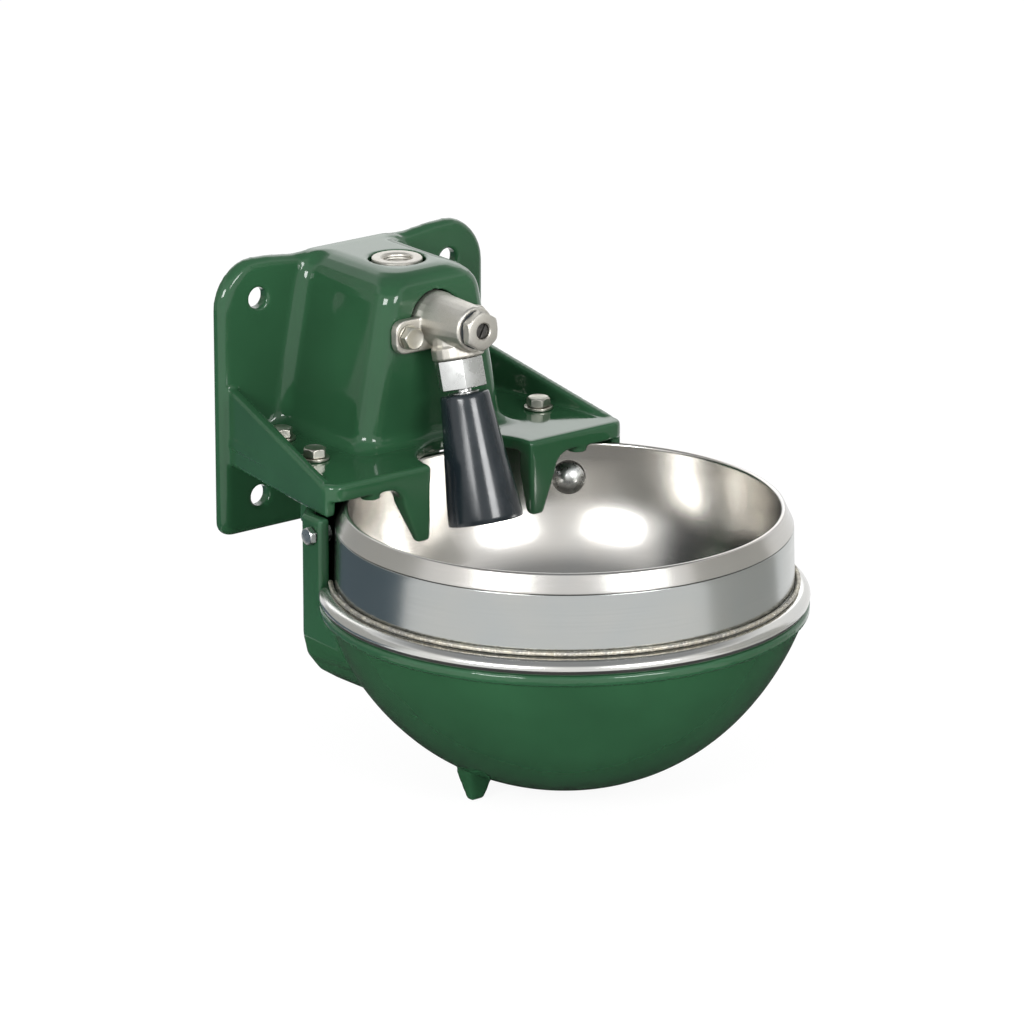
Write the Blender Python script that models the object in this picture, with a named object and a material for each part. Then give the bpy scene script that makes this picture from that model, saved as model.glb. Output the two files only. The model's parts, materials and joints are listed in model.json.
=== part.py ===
"""Livestock drinking bowl: cast wall bracket, frost-protected bowl and tilting rubber nozzle.

Run with: blender --background --python part.py
Metres, +Z up. The origin is the centre of the wall plate's back face, and the bowl points to -Y.
Heights called "over the rim" are measured from the top of the bowl's rim.
"""

import math

import bmesh
import bpy
from mathutils import Matrix, Vector

MM = 0.001
SEAT_GAP = 0.3 * MM

# Wall plate
PLATE_HALF_WIDTH = 102.5 * MM
PLATE_HALF_HEIGHT = 86.5 * MM
PLATE_THICKNESS = 9 * MM
PLATE_TOP_RADIUS = 28 * MM
PLATE_BOTTOM_RADIUS = 9 * MM
PLATE_EDGE_RADIUS = 6 * MM
PLATE_EAR_CROWN = 1.9 * MM
PLATE_NECK_DIP = 1.1 * MM
WALL_HOLE_RADIUS = 6.75 * MM
WALL_HOLE_HALF_PITCH_X = 73.5 * MM
WALL_HOLE_HALF_PITCH_Z = 63.5 * MM
HOLE_RIM_RADIUS = 1.5 * MM

# Shelf, side gussets and guard prongs
RIM_TO_PLATE_TOP = 118 * MM
SHELF_OVER_RIM = 12.3 * MM
SHELF_THICKNESS = 8 * MM
SHELF_REACH = 137.2 * MM
SHELF_REAR_HALF_WIDTH = 97 * MM
SHELF_SIDE_INSET = 17.5 * MM
SHELF_CORNER_RADIUS = 10 * MM
SHELF_EDGE_RADIUS = 2.5 * MM
LIP_DEPTH = 10.5 * MM
LIP_THICKNESS = 7 * MM
LIP_BOSS_X = 80 * MM
LIP_BOSS_RADIUS = 6.5 * MM
LIP_BOSS_DROP = 4 * MM
GUSSET_THICKNESS = 7 * MM
GUSSET_RISE = 29 * MM
GUSSET_DROP = 20.3 * MM
GUSSET_END_INSET = 14.2 * MM
GUSSET_NOSE = 8.5 * MM
NOTCH_HALF_WIDTH = 38.5 * MM
NOTCH_REACH = 97 * MM
PRONG_LENGTH = 37 * MM
PRONG_ROOT_WIDTH = 20 * MM
PRONG_TIP_WIDTH = 11.5 * MM
PRONG_ROOT_DEPTH = 13 * MM
PRONG_TIP_DEPTH = 6.5 * MM
PRONG_FILLET = 12 * MM
PRONG_EDGE_RADIUS = 2 * MM
PRONG_TIP_RADIUS = 3 * MM

# Hood
HOOD_REACH = 92 * MM
HOOD_TOP_HALF_WIDTH = 35.5 * MM
HOOD_FLARE = 0.2
HOOD_TOP_RADIUS = 16 * MM
HOOD_CORNER_RADIUS = 12 * MM
HOOD_FILLET = 9 * MM
HOOD_FOOT_FILLET = 8 * MM
HOOD_WALL = 7 * MM
HOOD_INNER_CORNER = 4 * MM
PORT_FROM_WALL = 52.7 * MM
PORT_CLEARANCE = 2 * MM

# Drinking bowl, skirt, rim ring and weld bead
RIM_RADIUS = 131.5 * MM
SHELF_OVER_BOWL = 50.2 * MM
BOWL_DEPTH = 118 * MM
BOWL_SHEET = 1.6 * MM
BOWL_ROUNDNESS = 2.4
BOWL_CURVE_START = 0.1
FOLD_FLARE = 6.5 * MM
FOLD_HEIGHT = 11.4 * MM
SKIRT_FLARE = 1 * MM
SKIRT_HEIGHT = 44 * MM
RING_WIDTH = 9.1 * MM
RING_HEIGHT = 9.2 * MM
WELD_RADIUS = 1.7 * MM

# Lower housing
LIP_UNDER_RIM = 58 * MM
SHELL_LIP_HEIGHT = 6 * MM
SHELL_BELOW_BOWL = 54 * MM
SHELL_ROUNDNESS = 2.17
SHELL_CENTRE_OVER_RIM = 27.5 * MM
SHELL_SWELL = 12 * MM
SHELL_WALL = 6.5 * MM
BOX_SIDE_INSET = 39 * MM
BOX_WALL = 8 * MM
BOX_REAR_CLEARANCE = 12.5 * MM
BOX_SIDE_LENGTH = 18.1 * MM
BOX_DEPTH_UNDER_RIM = 117 * MM
BOX_BELOW_BOWL = 30 * MM
BOX_BOTTOM_RADIUS = 32 * MM
FLANGE_THICKNESS = 7 * MM
NECK_OVERLAP = 4 * MM
FLANGE_SIDE_CLEARANCE = 1.5 * MM
FLANGE_WALL_CLEARANCE = 5 * MM
FOOT_FROM_AXIS = 68 * MM
FOOT_BELOW_SHELL = 0.5 * MM
FOOT_HEIGHT = 22 * MM
FOOT_SPREAD = 11 * MM
FOOT_TIP_WIDTH = 12 * MM
FOOT_TIP_DEPTH = 6.5 * MM

# Heating plate and insulation
HEATER_RADIUS = 62 * MM
HEATER_THICKNESS = 4 * MM
INSULATION_TOP_UNDER_RIM = 66 * MM

# Fasteners, M8
BOLT_RADIUS = 4 * MM
BOLT_HOLE_CLEARANCE = 0.5 * MM
THREAD_CLEARANCE = 0.3 * MM
HEX_ACROSS_FLATS = 13 * MM
HEAD_HEIGHT = 5.4 * MM
WASHER_RADIUS = 9 * MM
WASHER_THICKNESS = 1.6 * MM
BOSS_RADIUS = 9.5 * MM
FRONT_BOLT_FROM_EDGE = 53.8 * MM
FRONT_BOLT_SIDE_INSET = 21.1 * MM
REAR_BOLT_FROM_WALL = 37 * MM
REAR_BOLT_SIDE_INSET = 23 * MM
FRONT_BOSS_DEPTH = 24 * MM
REAR_BOSS_DEPTH = 9 * MM
SHELF_BOLT_GRIP = 9 * MM
SHELF_BOLT_TURN = math.radians(17)
NUT_HEIGHT = 6.5 * MM
EARTH_BOLT_UNDER_RIM = 19.5 * MM
EARTH_BOLT_FROM_FRONT = 8 * MM
EARTH_BOLT_RADIUS = 3 * MM
EARTH_HEX_ACROSS_FLATS = 10 * MM
EARTH_HEAD_HEIGHT = 4 * MM
EARTH_NUT_HEIGHT = 3.2 * MM
BOWL_BOLT_ANGLE = math.radians(50.4)
BOWL_BOLT_UNDER_RIM = 23 * MM
DOME_RADIUS = 10.3 * MM
DOME_HEIGHT = 6 * MM
SPACER_RADIUS = 7 * MM

# Inlet manifold
SOCKET_RADIUS = 15.75 * MM
SOCKET_BORE_RADIUS = 9.5 * MM
SOCKET_CHAMFER = 1 * MM
MANIFOLD_LENGTH = 50 * MM
BRANCH_RADIUS = 13 * MM
BRANCH_BORE_RADIUS = 6.5 * MM
SOCKET_PROUD = 0.4 * MM
SOCKET_FLOOR = 6 * MM
MANIFOLD_EAR_REACH = 33 * MM
EAR_RECESS = 0.4 * MM
MANIFOLD_FLANGE_THICKNESS = 8 * MM
MANIFOLD_GAP = 1.2 * MM

# Valve
VALVE_UNDER_TOP = 30.3 * MM
VALVE_PITCH = math.radians(3)
VALVE_SPIGOT_RADIUS = 17.6 * MM
VALVE_SPIGOT_CLEARANCE = 1 * MM
VALVE_SPIGOT_PROUD = 3.2 * MM
VALVE_NECK_RADIUS = 16.6 * MM
VALVE_NECK_LENGTH = 3 * MM
VALVE_END_RADIUS = 14 * MM
VALVE_END_CHAMFER = 0.8 * MM
VALVE_LENGTH = 39.8 * MM
VALVE_BORE_RADIUS = 6.5 * MM
CHAMBER_DEPTH = 14 * MM
EAR_REACH = 35 * MM
EAR_HEIGHT = 21 * MM
EAR_THICKNESS = 6 * MM
EAR_DROP = 6 * MM
EAR_CORNER = 6.5 * MM
VALVE_BOLT_X = 26 * MM
VALVE_BOLT_LENGTH = 19.5 * MM
VALVE_BOLT_TURN = math.radians(20)
VALVE_WASHER_RADIUS = 7.6 * MM
VALVE_WASHER_THICKNESS = 1 * MM
SEAL_WIRE_RADIUS = 1.4 * MM
SEAL_RING_RADIUS = 11 * MM
CAP_ACROSS_FLATS = 22 * MM
CAP_THICKNESS = 6 * MM
CAP_THREAD_RADIUS = 10 * MM
CAP_THREAD_LENGTH = 9 * MM
GASKET_THICKNESS = 1.1 * MM
GASKET_RADIUS = 11.8 * MM

# Flow screw
SCREW_RADIUS = 4.7 * MM
SCREW_CLEARANCE = 0.3 * MM
SCREW_RECESS = 1.6 * MM
SCREW_TRAVEL = 1.6 * MM
SCREW_THREAD_LENGTH = 7 * MM
SCREW_NECK_RADIUS = 3.1 * MM
SCREW_NECK_LENGTH = 2.6 * MM
SCREW_TIP_LENGTH = 8 * MM
SLOT_WIDTH = 1.5 * MM
SLOT_DEPTH = 1.6 * MM
SLOT_ANGLE = math.radians(-30)
SCREW_SEAL_WIRE = 0.9 * MM

# Outlet, nozzle pivot and nozzle, along the outlet's own axis
OUTLET_TILT = math.radians(15.5)
OUTLET_REACH = 16.8 * MM
OUTLET_DROP = 21.5 * MM
COLLAR_RADIUS = 16 * MM
COLLAR_HEIGHT = 7.5 * MM
SPIGOT_RADIUS = 10.2 * MM
SPIGOT_BORE_RADIUS = 7.6 * MM
SPIGOT_LENGTH = 4.5 * MM
NUT_ACROSS_FLATS = 27 * MM
OUTLET_NUT_HEIGHT = 18.4 * MM
NUT_MOUTH_RADIUS = 6.9 * MM
NUT_MOUTH_FLARE = 0.8 * MM
PIVOT_DEPTH = 11.5 * MM
BALL_RADIUS = 6.2 * MM
LINER_THICKNESS = 2.1 * MM
LINER_FROM = math.radians(60)
LINER_TO = math.radians(80)
NUT_SEAT_FROM = math.radians(50)
SEAT_RING_BORE = 4.4 * MM
STEM_RADIUS = 4.5 * MM
STEM_BORE_RADIUS = 2.6 * MM
STEM_PORT_RADIUS = 1.3 * MM
STEM_PORT_RISE = 3.8 * MM
STEM_COLLAR_RADIUS = 9 * MM
STEM_COLLAR_TOP = 20.7 * MM
STEM_LENGTH = 45 * MM
STEM_FLANGE_RADIUS = 8.5 * MM
STEM_FLANGE_THICKNESS = 3 * MM
NOZZLE_TOP = 21.7 * MM
NOZZLE_LENGTH = 79.5 * MM
NOZZLE_TOP_RADIUS = 15.2 * MM
NOZZLE_END_RADIUS = 23.3 * MM
NOZZLE_WALL = 4.5 * MM
SPRING_WIRE = 0.6 * MM
SPRING_RADIUS = 5.9 * MM
SPRING_LENGTH = 9 * MM
SPRING_TURNS = 5
SPRING_CUP_THICKNESS = 1 * MM

# Places that follow from the sizes above
RIM_Z = PLATE_HALF_HEIGHT - RIM_TO_PLATE_TOP
SHELF_Z = RIM_Z + SHELF_OVER_RIM
SHELF_UNDERSIDE_Z = SHELF_Z - SHELF_THICKNESS
GUSSET_BOTTOM_Z = SHELF_Z - GUSSET_DROP
HOOD_TOP_Z = PLATE_HALF_HEIGHT
SHELF_FRONT_HALF_WIDTH = RIM_RADIUS - SHELF_SIDE_INSET
GUSSET_TOP_REACH = SHELF_REACH - GUSSET_END_INSET
RIM_FROM_WALL = SHELF_REACH - SHELF_OVER_BOWL
BOWL_Y = -(RIM_FROM_WALL + RIM_RADIUS)
BOWL_AXIS = Vector((0, BOWL_Y, RIM_Z))
FOLD_RADIUS = RIM_RADIUS + FOLD_FLARE
SKIRT_RADIUS = FOLD_RADIUS + SKIRT_FLARE
RING_INNER_RADIUS = SKIRT_RADIUS + SEAT_GAP
RING_OUTER_RADIUS = RING_INNER_RADIUS + RING_WIDTH
LIP_Z = RIM_Z - LIP_UNDER_RIM
SHELL_RADIUS = RING_OUTER_RADIUS - SEAT_GAP
SHELL_DEPTH_UNDER_RIM = BOWL_DEPTH + SHELL_BELOW_BOWL
BOX_REAR_RADIUS = FOLD_RADIUS + BOX_REAR_CLEARANCE
BOX_HALF_WIDTH = BOX_REAR_RADIUS + BOX_WALL - BOX_SIDE_INSET
BOX_CORNER_REACH = -BOWL_Y - math.sqrt((BOX_REAR_RADIUS + BOX_WALL) ** 2 - BOX_HALF_WIDTH ** 2)
BOX_FRONT_REACH = BOX_CORNER_REACH + BOX_SIDE_LENGTH
BOX_TOP_Z = GUSSET_BOTTOM_Z - SEAT_GAP
FLANGE_TOP_Z = SHELF_UNDERSIDE_Z - SEAT_GAP
FLANGE_BOTTOM_Z = FLANGE_TOP_Z - FLANGE_THICKNESS
EARTH_BOLT_Y = -BOX_FRONT_REACH + EARTH_BOLT_FROM_FRONT
EARTH_BOLT_Z = RIM_Z - EARTH_BOLT_UNDER_RIM
VALVE_Z = HOOD_TOP_Z - VALVE_UNDER_TOP
VALVE_AXIS = Vector((0, -math.cos(VALVE_PITCH), math.sin(VALVE_PITCH)))
VALVE_ORIGIN = Vector((0, -HOOD_REACH, VALVE_Z))
MANIFOLD_FACE = -HOOD_WALL - MANIFOLD_GAP
OUTLET_AXIS = Vector((0, -math.sin(OUTLET_TILT), -math.cos(OUTLET_TILT)))
NUT_TOP = VALVE_ORIGIN + VALVE_AXIS * OUTLET_REACH + OUTLET_AXIS * OUTLET_DROP
PIVOT = NUT_TOP + OUTLET_AXIS * PIVOT_DEPTH

SIDES = (("left", -1), ("right", 1))
ROUND_STEPS = 36
FRONT_STEPS = 36
SHELL_STEPS = 8
BOWL_STEPS = 9

GREEN_ENAMEL = ((0.020, 0.110, 0.045, 1), 0.15, 0.0)
SATIN_STEEL = ((0.62, 0.62, 0.60, 1), 0.30, 1.0)
CAST_STEEL = ((0.55, 0.53, 0.50, 1), 0.45, 1.0)
BRIGHT_STEEL = ((0.75, 0.75, 0.74, 1), 0.18, 1.0)
WELD_METAL = ((0.42, 0.38, 0.30, 1), 0.60, 1.0)
ZINC = ((0.60, 0.58, 0.54, 1), 0.35, 1.0)
DARK_STEEL = ((0.08, 0.08, 0.08, 1), 0.45, 1.0)
RUBBER = ((0.015, 0.016, 0.020, 1), 0.30, 0.0)
WHITE_PLASTIC = ((0.80, 0.80, 0.78, 1), 0.50, 0.0)
HEATER_FOIL = ((0.70, 0.45, 0.12, 1), 0.35, 0.0)
FOAM = ((0.70, 0.68, 0.55, 1), 0.90, 0.0)


def clear_scene():
    for old in list(bpy.data.objects):
        bpy.data.objects.remove(old, do_unlink=True)


def make_material(name, finish):
    colour, roughness, metallic = finish
    material = bpy.data.materials.new(name)
    material.use_nodes = True
    shader = material.node_tree.nodes["Principled BSDF"]
    shader.inputs["Base Color"].default_value = colour
    shader.inputs["Roughness"].default_value = roughness
    shader.inputs["Metallic"].default_value = metallic
    return material


def axis_frame(origin, direction):
    """A frame at origin whose Z runs along direction and whose X is the part's X."""
    z_axis = Vector(direction).normalized()
    x_axis = Vector((1, 0, 0))
    if abs(z_axis.dot(x_axis)) > 0.9:
        x_axis = Vector((0, 1, 0))
    y_axis = z_axis.cross(x_axis).normalized()
    x_axis = y_axis.cross(z_axis)
    turned = Matrix((x_axis, y_axis, z_axis)).transposed().to_4x4()
    return Matrix.Translation(origin) @ turned


def arc(centre_a, centre_b, radius, start, end, steps):
    """Points on an arc, from start to end in radians, both ends included."""
    angles = [start + (end - start) * i / steps for i in range(steps + 1)]
    return [(centre_a + radius * math.cos(a), centre_b + radius * math.sin(a)) for a in angles]


def loft(rings):
    """A closed body through rings of equally many points, capped at both ends."""
    bm = bmesh.new()
    loops = []
    for ring in rings:
        verts = [bm.verts.new(point) for point in ring]
        loops.append(verts)
    count = len(loops[0])
    for lower, upper in zip(loops, loops[1:]):
        for i in range(count):
            j = (i + 1) % count
            bm.faces.new((lower[i], lower[j], upper[j], upper[i]))
    bm.faces.new(reversed(loops[0]))
    bm.faces.new(loops[-1])
    bmesh.ops.remove_doubles(bm, verts=bm.verts, dist=1e-6)
    bmesh.ops.recalc_face_normals(bm, faces=bm.faces)
    return bm


def rounded_tab(half_width, height, corner, steps=3):
    """Rounded rectangle outline about the origin."""
    half_height = height / 2
    outline = []
    for quarter in range(4):
        turn = quarter * math.pi / 2
        cx = (half_width - corner) * (1 if quarter in (0, 3) else -1)
        cy = (half_height - corner) * (1 if quarter in (0, 1) else -1)
        outline += arc(cx, cy, corner, turn, turn + math.pi / 2, steps)
    return outline


def prism(outline, bottom, top):
    """An outline of (x, y) points extruded from bottom to top."""
    bm = bmesh.new()
    face = bm.faces.new([bm.verts.new((x, y, bottom)) for x, y in outline])
    grown = bmesh.ops.extrude_face_region(bm, geom=[face])
    raised = [item for item in grown["geom"] if isinstance(item, bmesh.types.BMVert)]
    bmesh.ops.translate(bm, verts=raised, vec=(0, 0, top - bottom))
    bmesh.ops.recalc_face_normals(bm, faces=bm.faces)
    return bm


def lathe(profile, steps=20, sweep=2 * math.pi, start=0.0):
    """A closed profile of (radius, height) points spun about Z, whole or in part."""
    bm = bmesh.new()
    aim = Matrix.Rotation(start, 3, "Z")
    verts = [bm.verts.new(aim @ Vector((radius, 0, height))) for radius, height in profile]
    edges = [bm.edges.new((a, b)) for a, b in zip(verts, verts[1:] + verts[:1])]
    whole = abs(sweep - 2 * math.pi) < 1e-6
    spun = bmesh.ops.spin(bm, geom=verts + edges, cent=(0, 0, 0), axis=(0, 0, 1), angle=sweep,
                          steps=steps, use_merge=whole)
    if not whole:
        last = [item for item in spun["geom_last"] if isinstance(item, bmesh.types.BMEdge)]
        bmesh.ops.contextual_create(bm, geom=edges)
        bmesh.ops.contextual_create(bm, geom=last)
    bmesh.ops.remove_doubles(bm, verts=bm.verts, dist=1e-6)
    bmesh.ops.dissolve_degenerate(bm, dist=1e-7, edges=bm.edges)
    on_axis = [edge for edge in bm.edges if not edge.link_faces]
    bmesh.ops.delete(bm, geom=on_axis, context="EDGES")
    bmesh.ops.recalc_face_normals(bm, faces=bm.faces)
    return bm


def cylinder(radius, bottom, top, steps=12):
    bm = bmesh.new()
    bmesh.ops.create_cone(bm, cap_ends=True, segments=steps, radius1=radius, radius2=radius,
                          depth=top - bottom)
    bmesh.ops.translate(bm, verts=bm.verts, vec=(0, 0, (top + bottom) / 2))
    return bm


def hexagon(across_flats, bottom, top, chamfer_top=0.0, chamfer_bottom=0.0):
    """A hexagonal prism whose end edges are chamfered where a chamfer is given."""
    corner = across_flats / math.sqrt(3)
    stations = [(bottom, corner - chamfer_bottom), (bottom + chamfer_bottom / 2, corner),
                (top - chamfer_top / 2, corner), (top, corner - chamfer_top)]
    if not chamfer_bottom:
        stations.pop(0)
    if not chamfer_top:
        stations.pop()
    angles = [turn * math.pi / 3 for turn in range(6)]
    return loft([[(size * math.cos(a), size * math.sin(a), z) for a in angles] for z, size in stations])


def meet(bm, tool, operation):
    """Boolean of two bmeshes with Blender's exact solver."""
    target = raw_object("target", bm)
    cutter = raw_object("cutter", tool)
    modifier = target.modifiers.new("cut", "BOOLEAN")
    modifier.operation = operation
    modifier.object = cutter
    modifier.solver = "EXACT"
    depsgraph = bpy.context.evaluated_depsgraph_get()
    result = bmesh.new()
    result.from_mesh(target.evaluated_get(depsgraph).to_mesh())
    for item in (target, cutter):
        mesh = item.data
        bpy.data.objects.remove(item, do_unlink=True)
        bpy.data.meshes.remove(mesh)
    bmesh.ops.remove_doubles(result, verts=result.verts, dist=2e-6)
    bmesh.ops.dissolve_degenerate(result, dist=2e-6, edges=result.edges)
    return result


def union(first, *others):
    for other in others:
        first = meet(first, other, "UNION")
    return first


def cut(first, *tools):
    for tool in tools:
        first = meet(first, tool, "DIFFERENCE")
    return first


def moved(bm, matrix):
    bmesh.ops.transform(bm, matrix=matrix, verts=bm.verts)
    return bm


def raw_object(name, bm):
    mesh = bpy.data.meshes.new(name)
    bm.to_mesh(mesh)
    bm.free()
    item = bpy.data.objects.new(name, mesh)
    bpy.context.collection.objects.link(item)
    return item


def add_part(name, bm, finish, frame=None, sharp=30, parent=None):
    """A named sub-part; frame places a body that was built about its own axis."""
    item = raw_object(name, bm)
    item.data.shade_smooth()
    item.data.set_sharp_from_angle(angle=math.radians(sharp))
    item.data.materials.append(make_material(name, finish))
    if frame is not None:
        item.matrix_world = frame
    if parent is not None:
        item.parent = parent
        item.matrix_parent_inverse = parent.matrix_world.inverted()
    return item


def pivot_empty(name, frame):
    empty = bpy.data.objects.new(name, None)
    empty.matrix_world = frame
    bpy.context.collection.objects.link(empty)
    return empty


VALVE_FRAME = axis_frame(VALVE_ORIGIN, VALVE_AXIS)
NUT_FRAME = axis_frame(NUT_TOP, OUTLET_AXIS)
PIVOT_FRAME = axis_frame(PIVOT, OUTLET_AXIS)


# Bracket


def plate_crown(x):
    """Rise of the plate's top edge: crowned over each ear and dipped beside the hood."""
    reach = abs(x) / PLATE_HALF_WIDTH
    stations = ((0.0, 0), (0.28, 0), (0.36, -PLATE_NECK_DIP), (0.42, -PLATE_NECK_DIP),
                (0.63, PLATE_EAR_CROWN * 0.8), (0.8, PLATE_EAR_CROWN), (1.0, 0), (2.0, 0))
    for (start, low), (end, high) in zip(stations, stations[1:]):
        if start <= reach <= end:
            return low + (high - low) * (reach - start) / (end - start)
    return 0


def plate_outline(inset):
    """Half-rounded plate outline in (x, z), anticlockwise, moved inwards by inset."""
    half_width = PLATE_HALF_WIDTH - inset
    half_height = PLATE_HALF_HEIGHT - inset
    top_radius = PLATE_TOP_RADIUS - inset
    bottom_radius = max(PLATE_BOTTOM_RADIUS - inset, MM)
    right, left = half_width, -half_width
    outline = arc(right - bottom_radius, -half_height + bottom_radius, bottom_radius,
                  -math.pi / 2, 0, 5)
    top_edge = arc(right - top_radius, half_height - top_radius, top_radius, 0, math.pi / 2, 8)
    top_edge += [(top_edge[-1][0] * share, half_height) for share in (0.85, 0.7, 0.58, 0.48, 0.36, 0.25)]
    top_edge += [(-x, z) for x, z in reversed(top_edge)]
    outline += [(x, z + plate_crown(x)) for x, z in top_edge]
    outline += arc(left + bottom_radius, -half_height + bottom_radius, bottom_radius,
                   math.pi, 1.5 * math.pi, 5)
    return outline


def wall_plate():
    rings = [[(x, 0, z) for x, z in plate_outline(MM)]]
    rings.append([(x, -MM, z) for x, z in plate_outline(0)])
    for turn in range(5):
        angle = turn * math.pi / 8
        inset = PLATE_EDGE_RADIUS * (1 - math.cos(angle))
        depth = PLATE_THICKNESS - PLATE_EDGE_RADIUS * (1 - math.sin(angle))
        rings.append([(x, -depth, z) for x, z in plate_outline(inset)])
    return loft(rings)


def hood_outline(half_width, reach, corner, flare, rear):
    """Hood section in (x, y): flared into the plate at the rear, rounded at the front."""
    side = [(half_width + flare, rear)]
    side += arc(half_width + flare, -PLATE_THICKNESS - flare, flare, math.pi / 2, math.pi, 4)
    side += arc(half_width - corner, -reach + corner, corner, 0, -math.pi / 2, 5)
    return side + [(-x, y) for x, y in reversed(side)]


def hood_half_width(z):
    return HOOD_TOP_HALF_WIDTH + (HOOD_TOP_Z - z) * HOOD_FLARE


def hood_body():
    """The hood's outer form, from inside the shelf up to its rounded top."""
    rear = -PLATE_THICKNESS / 2
    rings = []

    def add_ring(z, grow):
        outline = hood_outline(hood_half_width(z) + grow, HOOD_REACH + grow,
                               HOOD_CORNER_RADIUS, HOOD_FILLET, rear)
        rings.append([(x, y, z) for x, y in outline])

    add_ring(SHELF_Z - SHELF_THICKNESS / 2, HOOD_FOOT_FILLET)
    for turn in range(5):
        angle = turn * math.pi / 8
        add_ring(SHELF_Z + HOOD_FOOT_FILLET * (1 - math.cos(angle)),
                 HOOD_FOOT_FILLET * (1 - math.sin(angle)))
    for turn in range(6):
        angle = turn * math.pi / 10
        add_ring(HOOD_TOP_Z - HOOD_TOP_RADIUS * (1 - math.sin(angle)),
                 -HOOD_TOP_RADIUS * (1 - math.cos(angle)))
    return loft(rings)


def hood_hollow():
    """The space inside the hood, open downwards through the shelf."""
    rings = []
    roof_radius = HOOD_TOP_RADIUS - HOOD_WALL
    roof_z = HOOD_TOP_Z - HOOD_WALL
    heights = [(SHELF_UNDERSIDE_Z - LIP_DEPTH, 0)]
    for turn in range(4):
        angle = turn * math.pi / 6
        heights.append((roof_z - roof_radius * (1 - math.sin(angle)),
                        roof_radius * (1 - math.cos(angle))))
    for z, inset in heights:
        half_width = hood_half_width(z) - HOOD_WALL - inset
        reach = HOOD_REACH - HOOD_WALL - inset
        corner = HOOD_INNER_CORNER
        outline = arc(half_width - corner, -reach + corner, corner, 0, -math.pi / 2, 4)
        outline = [(half_width, -PLATE_THICKNESS)] + outline
        outline += [(-x, y) for x, y in reversed(outline)]
        rings.append([(x, y, z) for x, y in outline])
    return loft(rings)


def shelf_half_width(y):
    """Half width of the shelf where it stands y from the wall."""
    share = (-y - PLATE_THICKNESS) / (SHELF_REACH - SHELF_CORNER_RADIUS - PLATE_THICKNESS)
    return SHELF_REAR_HALF_WIDTH + (SHELF_FRONT_HALF_WIDTH - SHELF_REAR_HALF_WIDTH) * share


def shelf_outline(inset):
    rear = -PLATE_THICKNESS / 2
    half_front = SHELF_FRONT_HALF_WIDTH - inset
    radius = SHELF_CORNER_RADIUS - inset
    side = [(SHELF_REAR_HALF_WIDTH - inset, rear)]
    side += arc(half_front - radius, -SHELF_REACH + SHELF_CORNER_RADIUS, radius,
                0, -math.pi / 2, 5)
    return side + [(-x, y) for x, y in reversed(side)]


def shelf_plate():
    rings = [[(x, y, SHELF_UNDERSIDE_Z) for x, y in shelf_outline(0)]]
    for turn in range(4):
        angle = turn * math.pi / 6
        z = SHELF_Z - SHELF_EDGE_RADIUS * (1 - math.sin(angle))
        inset = SHELF_EDGE_RADIUS * (1 - math.cos(angle))
        rings.append([(x, y, z) for x, y in shelf_outline(inset)])
    return loft(rings)


def front_lip():
    """The turned-down front edge of the shelf."""
    middle = -SHELF_REACH + LIP_THICKNESS
    outer = shelf_outline(0)
    front = [(x, y) for x, y in outer if y < -SHELF_REACH + SHELF_CORNER_RADIUS + MM / 10]
    half = len(front) // 2
    right, left = front[:half], front[half:]
    inner = SHELF_FRONT_HALF_WIDTH - SHELF_CORNER_RADIUS
    outline = right + left + [(-inner, middle), (inner, middle)]
    return prism(outline, SHELF_Z - LIP_DEPTH, SHELF_Z - SHELF_EDGE_RADIUS - MM / 2)


def gusset(side):
    """One side web: a triangle above the shelf and a straight edge below it."""
    rings = []
    bevel = MM
    rise_end = SHELF_Z + SHELF_EDGE_RADIUS / 3
    stations = [PLATE_THICKNESS / 2, GUSSET_TOP_REACH, GUSSET_TOP_REACH + GUSSET_NOSE]
    for reach in stations:
        outer = shelf_half_width(-min(reach, SHELF_REACH - SHELF_CORNER_RADIUS))
        share = (reach - PLATE_THICKNESS) / (GUSSET_TOP_REACH - PLATE_THICKNESS)
        top = SHELF_Z + GUSSET_RISE * (1 - share)
        if reach >= GUSSET_TOP_REACH:
            top = rise_end
        if reach > GUSSET_TOP_REACH:
            top = SHELF_Z - SHELF_EDGE_RADIUS - MM
        inner = outer - GUSSET_THICKNESS
        bottom = GUSSET_BOTTOM_Z
        section = [(outer - bevel, bottom), (outer, bottom + bevel), (outer, top - bevel),
                   (outer - bevel, top), (inner + bevel, top), (inner, top - bevel),
                   (inner, bottom + bevel), (inner + bevel, bottom)]
        rings.append([(side * x, -reach, z) for x, z in section])
    return loft(rings)


def notch_cutter():
    """The gap in the shelf that the nozzle hangs in: round at the rear, open at the front."""
    centre = -NOTCH_REACH - NOTCH_HALF_WIDTH
    outline = arc(0, centre, NOTCH_HALF_WIDTH, 0, math.pi, 16)
    outline += [(-NOTCH_HALF_WIDTH, centre - NOTCH_HALF_WIDTH), (NOTCH_HALF_WIDTH, centre - NOTCH_HALF_WIDTH)]
    return prism(outline, SHELF_Z - PRONG_LENGTH, SHELF_Z + 5 * MM)


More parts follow.
